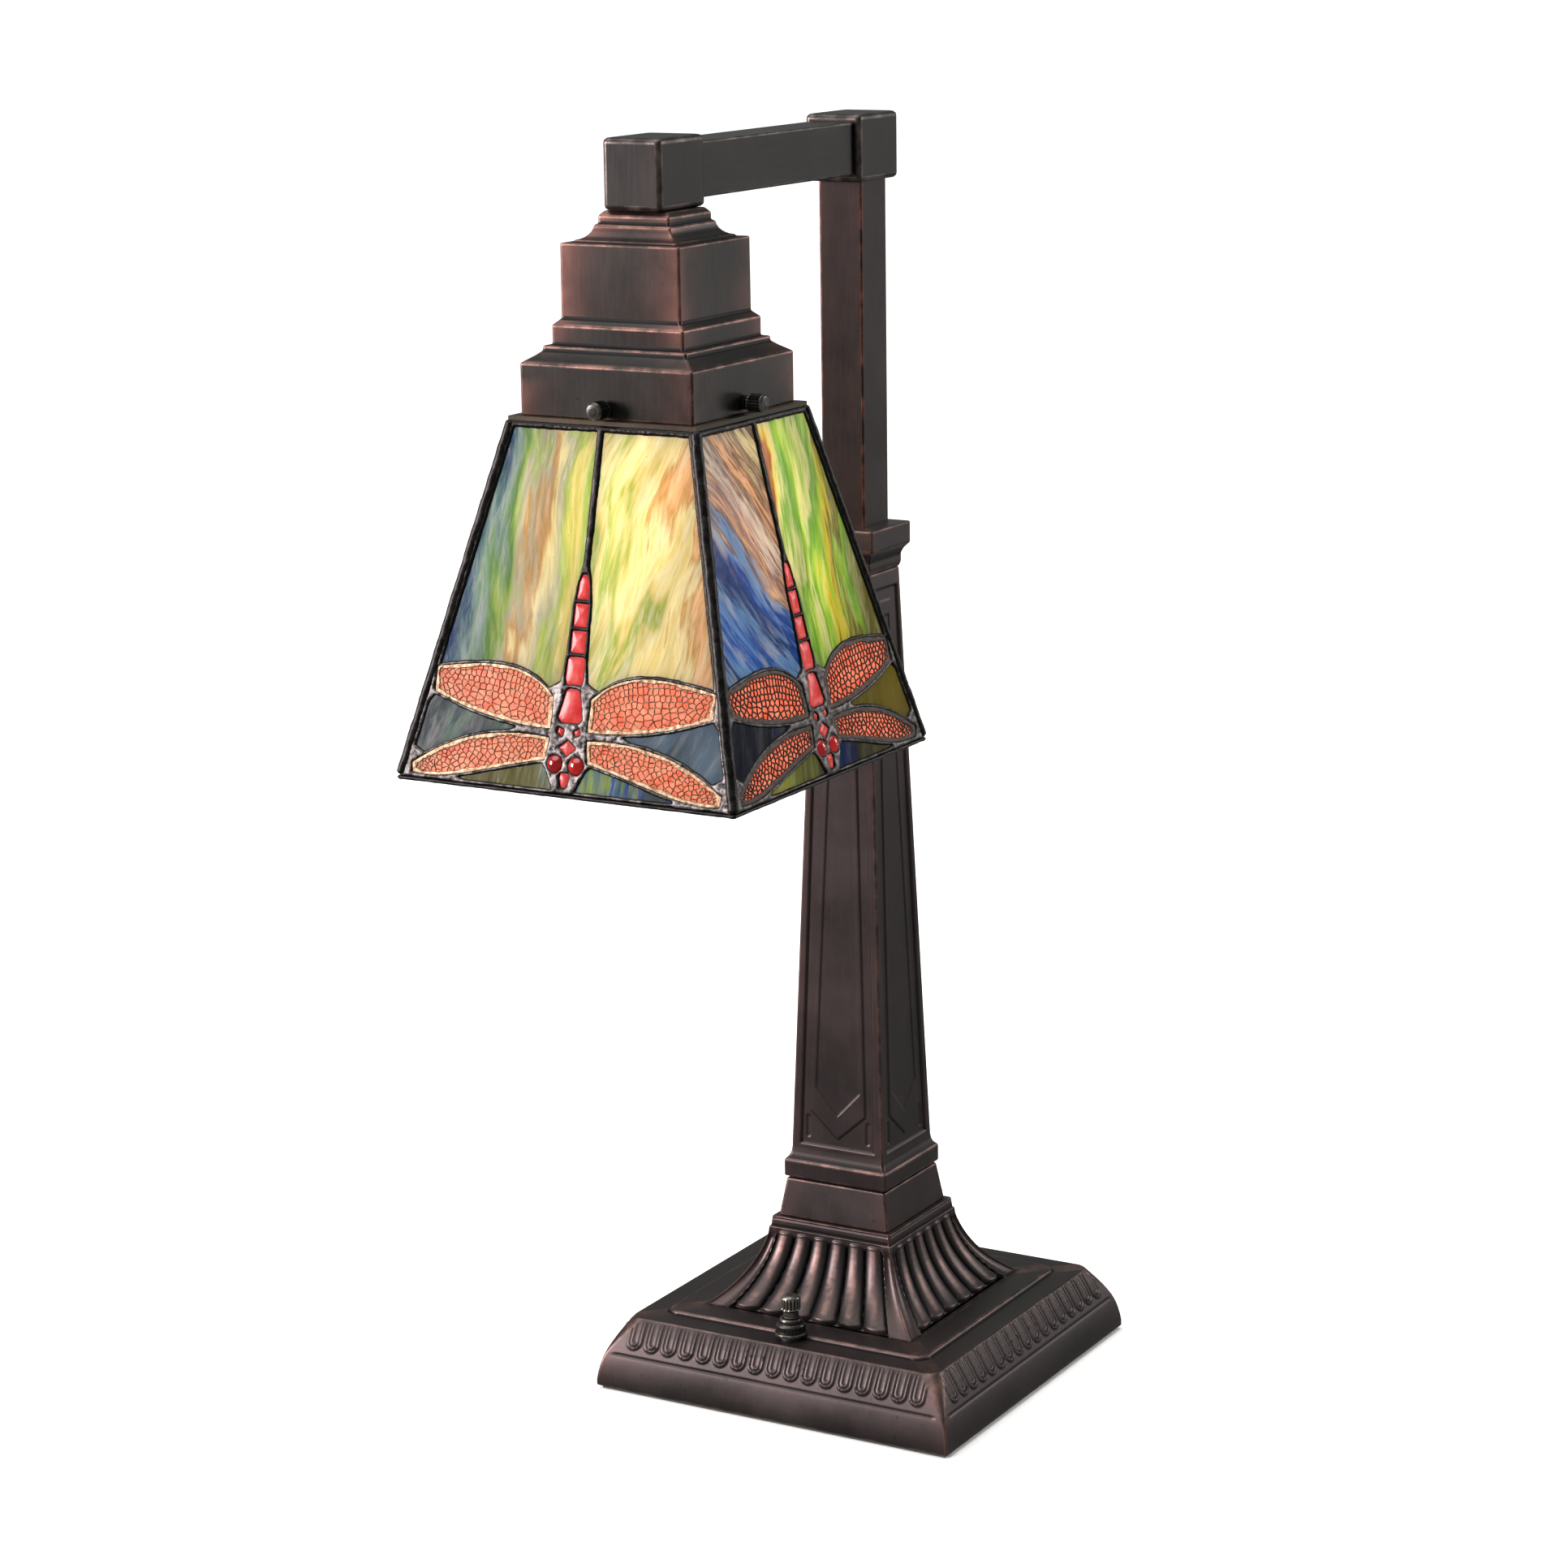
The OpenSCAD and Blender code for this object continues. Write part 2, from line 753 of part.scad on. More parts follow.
// Abdomen segments, thorax, small stones, head and eyes
module body_outlines() {
  centred([[-2.3, 61], [-1.9, 55], [-0.7, 52.3], [0.7, 52.3], [1.9, 55], [2.3, 61]]);
  centred([[-2.6, 70.6], [-2.7, 62.6], [2.7, 62.6], [2.6, 70.6]]);
  centred([[-2.8, 79.8], [-2.8, 72.2], [2.8, 72.2], [2.8, 79.8]]);
  centred([[-3, 91], [-3.6, 89], [-3.4, 82], [-2.6, 81.4], [2.6, 81.4], [3.4, 82], [3.6, 89], [3, 91]]);
  centred([
    [-5, 103], [-2.6, 93.4], [-1.4, 92.6], [1.4, 92.6], [2.6, 93.4], [5, 103], [3.6, 104.4], [-3.6, 104.4]
  ]);
  centred([[-3.3, 113.4], [0, 110.8], [3.3, 113.4], [0, 116.2]]);
  centred([[-2, 124], [-1.6, 122.4], [1.6, 122.4], [2, 124], [0.8, 127.2], [-0.8, 127.2]]);
  both_sides([[2.2, 107.4], [4.2, 106.4], [4.6, 108.2], [2.8, 109.2]]);
  for (x = [-1, 1])
    translate([x * eye_at[0], -eye_at[1]]) circle(r = eye_r);
}

module solder_plate(turn) {
  color(lead)
    difference() {
      intersection() {
        on_face(turn) translate([0, 0, -seam_t]) linear_extrude(height = seam_t) face_outline();
        quarter(turn);
      }
      on_face(turn)
        translate([0, 0, -seam_t - 1])
          linear_extrude(height = seam_t + 2) {
            tall_outline();
            low_outlines();
            wing_outlines();
            body_outlines();
          }
      corner_rods(bead_r);
    }
}

module glass(turn) {
  on_face(turn) translate([0, 0, -seam_proud - glass_t]) linear_extrude(height = glass_t) children();
}

module tall_glass(turn) {
  color("#c8c27a") glass(turn) tall_outline();
}

module low_glass(turn) {
  color("#6f7f8c") glass(turn) low_outlines();
}

module wing_glass(turn) {
  color("#f08a6c") glass(turn) wing_outlines();
}

module body_glass(turn) {
  color("#e23a34") glass(turn) body_outlines();
}

// Point inside a wing: t from root to tip, s from its top edge to its low edge
function in_wing(top, low, t, s) = (1 - s) * bezier(top, t) + s * bezier(low, t);

// Pierced sheet over one wing, on both sides of the face: three rows of openings between the veins
module wing_filigree(top, low) {
  rows = 3;
  cells = 9;
  vein = 0.14;
  difference() {
    both_sides(concat(along(top, 0.01, 0.99, 0.1), reversed(along(low, 0.01, 0.99, -0.1))));
    for (i = [0:cells - 1], j = [0:rows - 1]) {
      t = [0.03 + 0.94 * (i + vein) / cells, 0.03 + 0.94 * (i + 1 - vein) / cells];
      s = [0.08 + 0.84 * (j + vein) / rows, 0.08 + 0.84 * (j + 1 - vein) / rows];
      both_sides([
        in_wing(top, low, t[0], s[0]), in_wing(top, low, t[1], s[0]),
        in_wing(top, low, t[1], s[1]), in_wing(top, low, t[0], s[1])
      ]);
    }
  }
}

module filigree(turn) {
  color(bronze)
    on_face(turn)
      translate([0, 0, -seam_proud])
        linear_extrude(height = filigree_t) {
          wing_filigree(upper_top, upper_low);
          wing_filigree(lower_top, lower_low);
        }
}

base_casting();
base_flare();
base_plate();
base_felt();
plate_screws();
cord_grommet();
switch_body();
switch_nut();
switch_knob();
wire_nuts();
lamp_wire();
column_plinth();
column_shaft();
column_cap();
tie_pipe();
pipe_washers();
pipe_nuts();
upright_tube();
elbow_block();
arm_tube();
head_block();
head_nipple();
shade_holder();
socket_cap();
socket_shell();
socket_insulator();
bulb_base();
bulb_glass();
shade_collar();
corner_beads();
bottom_rim();
for (i = [0:3]) {
  thumbscrew(i);
  solder_plate(i);
  tall_glass(i);
  low_glass(i);
  wing_glass(i);
  body_glass(i);
  filigree(i);
}
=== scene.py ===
import math

import bpy
import numpy as np
from mathutils import Matrix, Vector


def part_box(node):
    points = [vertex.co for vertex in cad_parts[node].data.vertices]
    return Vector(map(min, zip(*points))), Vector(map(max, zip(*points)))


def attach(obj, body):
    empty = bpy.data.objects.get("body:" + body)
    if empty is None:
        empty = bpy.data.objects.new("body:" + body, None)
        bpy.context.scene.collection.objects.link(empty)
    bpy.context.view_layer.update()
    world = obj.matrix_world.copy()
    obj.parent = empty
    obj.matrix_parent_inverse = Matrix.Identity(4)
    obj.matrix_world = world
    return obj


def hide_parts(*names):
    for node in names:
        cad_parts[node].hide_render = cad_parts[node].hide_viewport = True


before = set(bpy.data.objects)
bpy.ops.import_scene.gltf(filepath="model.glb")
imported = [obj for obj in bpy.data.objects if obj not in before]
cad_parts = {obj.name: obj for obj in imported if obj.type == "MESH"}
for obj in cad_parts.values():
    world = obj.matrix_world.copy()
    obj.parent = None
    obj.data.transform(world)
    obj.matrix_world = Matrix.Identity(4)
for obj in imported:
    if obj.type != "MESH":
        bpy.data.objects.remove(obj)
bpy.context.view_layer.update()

MM = 0.001
FACES = ["front", "right", "back", "left"]


def box_mm(node):
    """Lowest and highest corners of a CAD node in millimetres."""
    low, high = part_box(node)
    return np.array(low) / MM, np.array(high) / MM


# ---- Sizes in millimetres, taken from the frame

BASE_HIGH = box_mm("base_casting")[1]
FLARE_HIGH = box_mm("base_flare")[1]
SHAFT_LOW, SHAFT_HIGH = box_mm("column_shaft")
CAP_HIGH = box_mm("column_cap")[1]
ELBOW_LOW, ELBOW_HIGH = box_mm("elbow_block")
HEAD_LOW, HEAD_HIGH = box_mm("head_block")
ARM_LOW, ARM_HIGH = box_mm("arm_tube")
UPRIGHT_LOW, UPRIGHT_HIGH = box_mm("upright_tube")
HOLDER_LOW, HOLDER_HIGH = box_mm("shade_holder")
COLLAR_LOW, COLLAR_HIGH = box_mm("shade_collar")
RIM_LOW, RIM_HIGH = box_mm("bottom_rim")
NUT_LOW, NUT_HIGH = box_mm("switch_nut")
KNOB_LOW, KNOB_HIGH = box_mm("switch_knob")

SHADE_Y = (COLLAR_LOW[1] + COLLAR_HIGH[1]) / 2
TOP_W = COLLAR_HIGH[0]
TOP_Z = COLLAR_LOW[2]
LOW_Z = RIM_HIGH[2]
LOW_W = RIM_HIGH[0] - 0.5
DROP = TOP_Z - LOW_Z
SLANT = math.hypot(DROP, LOW_W - TOP_W)
TILT = math.atan2(LOW_W - TOP_W, DROP)

GLASS_TOP = -0.45
GLASS_LOW = -2.95
SEAM_BACK = -3.4

# ---- Node materials

BRUSHED = (1, 1, 0.06)
DRAWN = (1, 1, 0.05)


class Nodes:
    """Short spellings for building one material."""

    def __init__(self, name):
        self.material = bpy.data.materials.new(name)
        self.material.use_nodes = True
        self.tree = self.material.node_tree
        self.shader = self.tree.nodes["Principled BSDF"]

    def add(self, kind, inputs=None, **settings):
        node = self.tree.nodes.new(kind)
        for key, value in settings.items():
            setattr(node, key, value)
        for key, value in (inputs or {}).items():
            self.feed(node.inputs[key], value)
        return node

    def feed(self, socket, value):
        if isinstance(value, bpy.types.NodeSocket):
            self.tree.links.new(value, socket)
        elif isinstance(value, tuple) and len(value) == 3 and len(socket.default_value) == 4:
            socket.default_value = (*value, 1)
        else:
            socket.default_value = value

    def attribute(self, name):
        return self.add("ShaderNodeAttribute", attribute_name=name)

    def place(self, scale=(1, 1, 1), turn=(0, 0, 0), source=None):
        source = source or self.add("ShaderNodeTexCoord").outputs["Object"]
        node = self.add("ShaderNodeMapping", {"Vector": source, "Scale": scale, "Rotation": turn})
        return node.outputs["Vector"]

    def noise(self, vector, scale, detail=3.0, roughness=0.5, distortion=0.0):
        settings = {"Vector": vector, "Scale": scale, "Detail": detail, "Roughness": roughness}
        return self.add("ShaderNodeTexNoise", {**settings, "Distortion": distortion}).outputs["Fac"]

    def ramp(self, value, stops):
        node = self.add("ShaderNodeValToRGB", {"Fac": value})
        elements = node.color_ramp.elements
        while len(elements) < len(stops):
            elements.new(0.5)
        for element, (position, colour) in zip(elements, stops):
            element.position = position
            element.color = (*colour, 1)
        return node.outputs["Color"]

    def span(self, value, low, high, to_low=0.0, to_high=1.0):
        limits = {"Value": value, "From Min": low, "From Max": high, "To Min": to_low, "To Max": to_high}
        return self.add("ShaderNodeMapRange", limits).outputs["Result"]

    def math(self, operation, a, b=0.0):
        node = self.add("ShaderNodeMath", operation=operation)
        self.feed(node.inputs[0], a)
        self.feed(node.inputs[1], b)
        return node.outputs[0]

    def vector(self, operation, a, b):
        return self.add("ShaderNodeVectorMath", {0: a, 1: b}, operation=operation).outputs[0]

    def mix(self, amount, a, b, blend="MIX"):
        node = self.add("ShaderNodeMix", data_type="RGBA", blend_type=blend)
        self.feed(node.inputs[0], amount)
        self.feed(node.inputs[6], a)
        self.feed(node.inputs[7], b)
        return node.outputs[2]

    def bump(self, height, distance, strength=1.0):
        node = self.add("ShaderNodeBump", {"Height": height, "Strength": strength, "Distance": distance})
        self.feed(self.shader.inputs["Normal"], node.outputs["Normal"])

    def set(self, **sockets):
        for key, value in sockets.items():
            self.feed(self.shader.inputs[key.replace("_", " ")], value)


def patina(name, dark, light, corner_sheen, worn, grime_and_shade, roughness, sheen_strength=0.7):
    """Rubbed metal: cloudy dark tone, faintly brushed.

    The attribute edge, 1 on sharp edges and -1 in hollows, brings out the worn colour on edges and, in hollows, a
    dark colour that is grime and painted shade; the attribute near, 1 beside a corner, a painted sheen colour.
    """
    n = Nodes(name)
    here = n.place()
    cloud = n.noise(here, 22, 5, 0.6)
    grain = n.noise(n.place(BRUSHED), 900, 4, 0.6)
    speckle = n.noise(here, 520, 2, 0.5)
    base = n.ramp(cloud, [(0.32, dark), (0.68, light)])
    base = n.mix(n.span(grain, 0.4, 0.75, 0, 0.05), base, worn)
    # Painted sheen: a lighter, redder colour in patches beside the vertical corners
    near = n.attribute("near").outputs["Fac"]
    sheen_patches = n.span(n.noise(here, 34, 3), 0.38, 0.62, 0.05, sheen_strength)
    base = n.mix(n.math("MULTIPLY", near, sheen_patches), base, corner_sheen)
    edge = n.attribute("edge").outputs["Fac"]
    patchy = n.span(n.noise(here, 120, 4, 0.6), 0.42, 0.64, 0.08, 0.75)
    base = n.mix(n.math("MULTIPLY", n.span(edge, 0.25, 1.0), patchy), base, worn)
    # Hollows darken towards the grime colour: grime and painted shade
    grime_and_shade_mask = n.span(edge, -0.08, -0.7)
    base = n.mix(grime_and_shade_mask, base, grime_and_shade)
    base = n.mix(n.span(speckle, 0.70, 0.74, 0, 0.5), base, grime_and_shade)
    n.set(Base_Color=base, Metallic=0.8)
    rough = n.span(cloud, 0.3, 0.7, roughness - 0.05, roughness + 0.08)
    n.set(Roughness=n.math("ADD", rough, n.math("MULTIPLY", grime_and_shade_mask, 0.2)))
    n.bump(n.math("ADD", grain, n.math("MULTIPLY", speckle, 0.4)), 0.00006, 0.3)
    return n.material


def bare_metal(name, colour, roughness):
    """Bare metal with fine draw marks and slight tarnish."""
    n = Nodes(name)
    drawn = n.noise(n.place(DRAWN), 1100, 3, 0.6)
    tarnish = n.noise(n.place(), 90, 4, 0.6)
    darker = tuple(c * 0.5 for c in colour)
    n.set(Base_Color=n.ramp(tarnish, [(0.35, darker), (0.65, colour)]), Metallic=0.95)
    n.set(Roughness=n.span(drawn, 0.3, 0.7, roughness - 0.08, roughness + 0.1))
    n.bump(drawn, 0.00004, 0.5)
    return n.material


def dull(name, colour, roughness, scale, depth, fuzz=0.0):
    """Felt, rubber, plastic, porcelain: fine grain over slightly uneven colour."""
    n = Nodes(name)
    grain = n.noise(n.place(), scale, 4, 0.7)
    cloud = n.noise(n.place(), 45, 3, 0.5)
    darker = tuple(c * 0.72 for c in colour)
    n.set(Base_Color=n.ramp(cloud, [(0.35, darker), (0.65, colour)]), Sheen_Weight=fuzz)
    n.set(Roughness=n.span(grain, 0.3, 0.7, max(roughness - 0.08, 0.05), min(roughness + 0.08, 1)))
    n.bump(grain, depth, 0.6)
    return n.material


def solder_metal(name, dark, bright, low=0.45, high=0.95):
    """Hand-soldered seam: black patina, pewter where its crest has been rubbed."""
    n = Nodes(name)
    here = n.place()
    lumps = n.noise(here, 420, 4, 0.65)
    crest = n.attribute("edge").outputs["Fac"]
    shine = n.math("MULTIPLY", n.span(crest, low, high), n.span(lumps, 0.40, 0.60))
    n.set(Base_Color=n.mix(shine, dark, bright), Metallic=0.8)
    n.set(Roughness=n.span(lumps, 0.3, 0.7, 0.28, 0.5))
    n.bump(lumps, 0.0004, 0.5)
    return n.material


def lit_through(n, colour, through):
    """Adds light that comes through the glass from behind."""
    light = n.add("ShaderNodeBsdfTranslucent", {"Color": colour})
    both = n.add("ShaderNodeMixShader", {0: through})
    n.feed(both.inputs[1], n.shader.outputs[0])
    n.feed(both.inputs[2], light.outputs[0])
    n.feed(n.tree.nodes["Material Output"].inputs["Surface"], both.outputs[0])


def art_glass(
    name, stops, field_at, turn=0.0, warp=0.12, wisp=(0.85, 0.82, 0.62), wisps=0.4, painted_glow=0.2, swirl=9.0, fine=1.0
):
    """Streaky opalescent glass with light behind it.

    The attribute flat holds each point's place in its face in millimetres. stops are the colours along a field that
    runs across and up the face as field_at = (per mm across, per mm up, offset). turn slants the streaks, swirl bends
    them, warp sets how far they stray and fine how much the finest ones show. wisps is how strongly the colour wisp
    is drawn over them.
    """
    n = Nodes(name)
    flat = n.attribute("flat").outputs["Vector"]
    eddy = n.add("ShaderNodeTexNoise", {"Vector": flat, "Scale": 0.02, "Detail": 0.6}).outputs["Color"]
    eddy = n.vector("SUBTRACT", eddy, (0.5, 0.5, 0.5))
    bent = n.vector("ADD", flat, n.vector("MULTIPLY", eddy, (swirl * 2, swirl * 3, 0)))
    drawn = n.place(turn=(0, 0, turn), source=bent)
    askew = n.place(turn=(0, 0, turn + 0.12), source=bent)
    drift = n.noise(n.place((0.085, 0.022, 1), source=drawn), 1.0, 3, 0.5, 0.5)
    threads = n.noise(n.place((0.42, 0.036, 1), source=drawn), 1.0, 5, 0.62, 0.35)
    curls = n.noise(n.place((0.17, 0.03, 1), source=askew), 1.3, 5, 0.6, 0.6)
    hairs = n.noise(n.place((1.1, 0.07, 1), source=askew), 1.0, 4, 0.65, 0.4)
    axes = n.add("ShaderNodeSeparateXYZ", {"Vector": bent})
    field = n.math("MULTIPLY", axes.outputs["X"], field_at[0])
    field = n.math("ADD", field, n.math("MULTIPLY", axes.outputs["Y"], field_at[1]))
    field = n.math("ADD", field, field_at[2])
    field = n.math("ADD", field, n.span(drift, 0.3, 0.7, -warp, warp))
    field = n.math("ADD", field, n.span(threads, 0.3, 0.7, -warp * 0.6 * fine, warp * 0.6 * fine))
    colour = n.ramp(field, stops)
    colour = n.mix(n.span(curls, 0.52, 0.68, 0, wisps), colour, wisp)
    depth = n.math("MULTIPLY", n.span(drift, 0.3, 0.7, 0.80, 1.18), n.span(hairs, 0.3, 0.7, 0.88, 1.10))
    grey = n.add("ShaderNodeCombineColor", {"Red": depth, "Green": depth, "Blue": depth}).outputs[0]
    colour = n.mix(1.0, colour, grey, "MULTIPLY")
    seeds = n.add("ShaderNodeTexVoronoi", {"Vector": flat, "Scale": 0.22}).outputs["Distance"]
    colour = n.mix(n.span(seeds, 0.07, 0.045, 0, 0.35), colour, (0.16, 0.12, 0.04))
    n.set(Base_Color=n.mix(0.78, colour, (0.0, 0.0, 0.0)), Roughness=n.span(curls, 0.3, 0.7, 0.14, 0.26))
    # Emission is painted glow, standing in for part of the bulb's light through the glass
    n.set(Emission_Color=colour, Emission_Strength=painted_glow, Specular_IOR_Level=0.15)
    n.bump(n.noise(n.place((0.14, 0.05, 1), source=drawn), 1.0, 3, 0.5), 0.001, 0.3)
    lit_through(n, colour, 0.5)
    return n.material


def lit_glass(name, deep, bright, scale, painted_glow, through, roughness=0.12, coat=0.3):
    """Even coloured glass with seeds and clouds, for the stones and the wings."""
    n = Nodes(name)
    here = n.place()
    cloud = n.noise(here, scale, 4, 0.6, 0.5)
    colour = n.ramp(cloud, [(0.35, deep), (0.62, bright)])
    n.set(Base_Color=n.mix(0.75, colour, (0.0, 0.0, 0.0)), Coat_Weight=coat, Specular_IOR_Level=0.25)
    n.set(Roughness=n.span(cloud, 0.3, 0.7, roughness, roughness + 0.12))
    # Emission is painted glow, standing in for part of the bulb's light through the glass
    n.set(Emission_Color=colour, Emission_Strength=painted_glow)
    n.bump(n.noise(here, scale * 2.5, 2, 0.5), 0.0004, 0.3)
    lit_through(n, colour, through)
    return n.material


def bulb_frost(name, strength):
    """Frosted envelope that glows, a little less towards the neck."""
    n = Nodes(name)
    grain = n.noise(n.place(), 900, 3, 0.6)
    n.set(Base_Color=(0.95, 0.93, 0.88), Roughness=n.span(grain, 0.3, 0.7, 0.45, 0.65))
    height = n.add("ShaderNodeSeparateXYZ", {"Vector": n.add("ShaderNodeTexCoord").outputs["Object"]}).outputs["Z"]
    n.set(Emission_Color=(1.0, 0.86, 0.66))
    n.set(Emission_Strength=n.span(height, 0.385, 0.418, strength, strength * 0.35))
    n.bump(grain, 0.00003, 0.4)
    return n.material


# ---- Mesh tools. Everything is in millimetres until a piece is made.


def make(name, shape, material, stands_for=None, body="lamp", sharp=50, place=None):
    """A finished piece from its points, faces and attributes. Edges sharper than sharp degrees stay sharp."""
    points, faces, attributes = shape
    mesh = bpy.data.meshes.new(name)
    mesh.from_pydata((np.asarray(points, float) * MM).tolist(), [], [list(map(int, f)) for f in faces])
    for key, values in attributes.items():
        values = np.asarray(values, np.float32)
        kind = "FLOAT" if values.ndim == 1 else "FLOAT_VECTOR"
        field = "value" if values.ndim == 1 else "vector"
        mesh.attributes.new(key, kind, "POINT").data.foreach_set(field, values.ravel())
    mesh.update()
    mesh.shade_smooth()
    mesh.set_sharp_from_angle(angle=math.radians(sharp))
    mesh.materials.append(material)
    return put(name, mesh, stands_for, body, place)


def put(name, mesh, stands_for=None, body="lamp", place=None):
    """One object that shows a mesh in the place of a CAD node, which is the one it is named after or stands_for."""
    piece = bpy.data.objects.new(name, mesh)
    bpy.context.scene.collection.objects.link(piece)
    if place is not None:
        piece.matrix_world = place
    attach(piece, body)
    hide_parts(stands_for or name)
    return piece


def moved(x, y, z):
    """Placement that moves by millimetres."""
    return Matrix.Translation(Vector((x, y, z)) * MM)


def face_place(turn):
    """Plane of one face of the shade: X across, Y up the slope from the top edge, Z out of the shade."""
    spin = Matrix.Rotation(math.radians(90 * turn), 4, "Z")
    lean = Matrix.Rotation(math.radians(90) - TILT, 4, "X")
    return moved(0, SHADE_Y, 0) @ spin @ moved(0, -TOP_W, TOP_Z) @ lean


def make_faces(stem, turns, shape, material):
    """One mesh shown on several faces of the shade, each given by its quarter turns from the front."""
    mesh = None
    for turn in turns:
        name = f"{stem}_{FACES[turn]}"
        if mesh is None:
            mesh = make(name, shape, material, sharp=60, place=face_place(turn)).data
        else:
            put(name, mesh, place=face_place(turn))


def ease(x):
    """Smooth step from 0 to 1."""
    x = np.clip(x, 0, 1)
    return x * x * (3 - 2 * x)


def lumps(x, y, size, seed):
    """Smooth random field between -1 and 1 whose lumps are about one size wide."""
    table = np.random.default_rng(seed).uniform(-1, 1, (97, 97))
    u, v = np.asarray(x) / size + 500, np.asarray(y) / size + 500
    i, j = np.floor(u).astype(int), np.floor(v).astype(int)
    fu, fv = ease(u - i), ease(v - j)
    low = table[i % 97, j % 97] * (1 - fu) + table[(i + 1) % 97, j % 97] * fu
    high = table[i % 97, (j + 1) % 97] * (1 - fu) + table[(i + 1) % 97, (j + 1) % 97] * fu
    return low * (1 - fv) + high * fv


def profile_rows(points, fillet, step, band=0.5):
    """Rounds a profile's corners and adds points. Also returns how exposed (1) or sunken (-1) each point is."""
    points = [np.array(p, float) for p in points]
    out, edge = [points[0]], [0.0]
    for before, here, after in zip(points, points[1:], points[2:]):
        back, ahead = before - here, after - here
        back_len, ahead_len = np.linalg.norm(back), np.linalg.norm(ahead)
        turn = math.atan2(back[1] * ahead[0] - back[0] * ahead[1], -float(back @ ahead))
        if abs(turn) < math.radians(14):
            out.append(here)
            edge.append(0.0)
            continue
        back, ahead = back / back_len, ahead / ahead_len
        cut = min(fillet, 0.42 * back_len, 0.42 * ahead_len)
        if 0.45 * back_len > cut + band:
            out.append(here + back * (cut + band))
            edge.append(0.0)
        for t in (0, 0.3, 0.7, 1):
            out.append(here + (1 - t) ** 2 * cut * back + t * t * cut * ahead)
            edge.append(max(-1.0, min(1.0, turn / math.radians(45))))
        if 0.45 * ahead_len > cut + band:
            out.append(here + ahead * (cut + band))
            edge.append(0.0)
    out.append(points[-1])
    edge.append(0.0)
    rows, worn = [out[0]], [edge[0]]
    for a, b, worn_a, worn_b in zip(out, out[1:], edge, edge[1:]):
        size = step(a, b) if callable(step) else step
        count = max(1, math.ceil(np.linalg.norm(b - a) / size))
        for i in range(1, count + 1):
            rows.append(a + (b - a) * i / count)
            worn.append(worn_a + (worn_b - worn_a) * i / count)
    return np.array(rows), np.array(worn)


def ring_faces(rows, count, closed):
    """Quads between rings of points, with end caps unless the profile is a closed loop."""
    here = np.arange(count)
    ahead = (here + 1) % count
    faces = []
    for i in range(rows if closed else rows - 1):
        low, high = i * count, (i + 1) % rows * count
        faces.extend(np.stack([low + here, low + ahead, high + ahead, high + here], axis=1).tolist())
    if not closed:
        faces.append(here[::-1].tolist())
        faces.append((here + (rows - 1) * count).tolist())
    return faces


# How far the painted corner sheen reaches from a corner, and over what width the wear of a flat end fades
SHEEN_REACH = 6.5
END_FADE = 3


def square_loft(
    profile, fillet=0.5, step=4.0, corner=0.8, columns=11, relief=None,
    spread=(0, 0), closed=False, wear_and_shading=None, core=0.0,
):
    """Solid of square plan around the Z axis whose sides follow a profile of [half width, height] points.

    fillet rounds the profile and corner the plan. relief(across, half width, height) lifts points off the surface
    and wear_and_shading, of the same form, adds to their edge value: wear and painted highlight where positive, grime
    and painted shade where negative. spread widens the plan along X and Y. A closed profile makes a ring.
    core is the half width inside which a row is part of a flat end. Returns points, faces and attributes.
    """
    profile = [*profile, profile[0]] if closed else profile
    rows, edge = profile_rows(profile, fillet, step)
    if closed:
        rows, edge = rows[:-1], edge[:-1]
        slope = np.roll(rows, -1, axis=0) - np.roll(rows, 1, axis=0)
    else:
        slope = np.gradient(rows, axis=0)
    slope /= np.linalg.norm(slope, axis=1, keepdims=True) + 1e-9
    w, z = rows[:, :1], rows[:, 1:]
    normal_w, normal_z = slope[:, 1:], -slope[:, :1]
    radius = (corner(z) if callable(corner) else corner) + np.zeros_like(w)
    radius = np.minimum(radius, w * 0.45)
    inner = w - radius
    near = np.minimum(0.5, inner * 0.3)
    across = np.hstack([-inner, (inner - near) * np.linspace(-1, 1, columns)[None], inner])
    lift = np.zeros_like(across) if relief is None else relief(across, w, z)
    blur = (np.roll(lift, 2, 1) + np.roll(lift, -2, 1) + np.roll(lift, 2, 0) + np.roll(lift, -2, 0)) / 4
    # Raised relief adds to the worn edge value; sunken relief lowers it, for grime and painted shade
    worn = edge[:, None] + np.clip((lift - blur) * 2.8, -1, 0.5)
    if wear_and_shading is not None:
        worn = worn + wear_and_shading(across, w, z)
    worn[:, [0, -1]] = np.maximum(worn[:, [0, -1]], 0.8 * (edge[:, None] > -0.3))
    angles = np.radians(np.linspace(-90, 0, 7)[1:-1])[None]
    arc_x = w - radius + radius * np.cos(angles)
    arc_y = -(w - radius) + radius * np.sin(angles)
    x = np.hstack([across, arc_x])
    y = np.hstack([-w - lift * normal_w, arc_y])
    height = np.hstack([z + lift * normal_z, z + 0 * arc_x])
    worn = np.hstack([worn, np.where(edge[:, None] > -0.3, 1.0, edge[:, None]) + 0 * arc_x])
    worn = worn * np.clip(1 - (core - w) / END_FADE, 0, 1)
    quarters = []
    for _ in range(4):
        quarters.append(np.stack([x, y, height], axis=-1))
        x, y = -y, x
    grid = np.concatenate(quarters, axis=1)
    grow = np.minimum(1, w / max(core, 1e-6))
    for axis in (0, 1):
        grid[..., axis] += np.clip(grid[..., axis] / inner, -1, 1) * spread[axis] * grow
    faces = ring_faces(len(rows), grid.shape[1], closed)
    from_corner = np.hstack([np.maximum(w, core) - np.abs(across), np.maximum(core - w, 0) + 0 * arc_x])
    fields = {"edge": worn, "near": np.exp(-from_corner / SHEEN_REACH)}
    return grid.reshape(-1, 3), faces, {key: np.tile(value, (1, 4)).reshape(-1) for key, value in fields.items()}


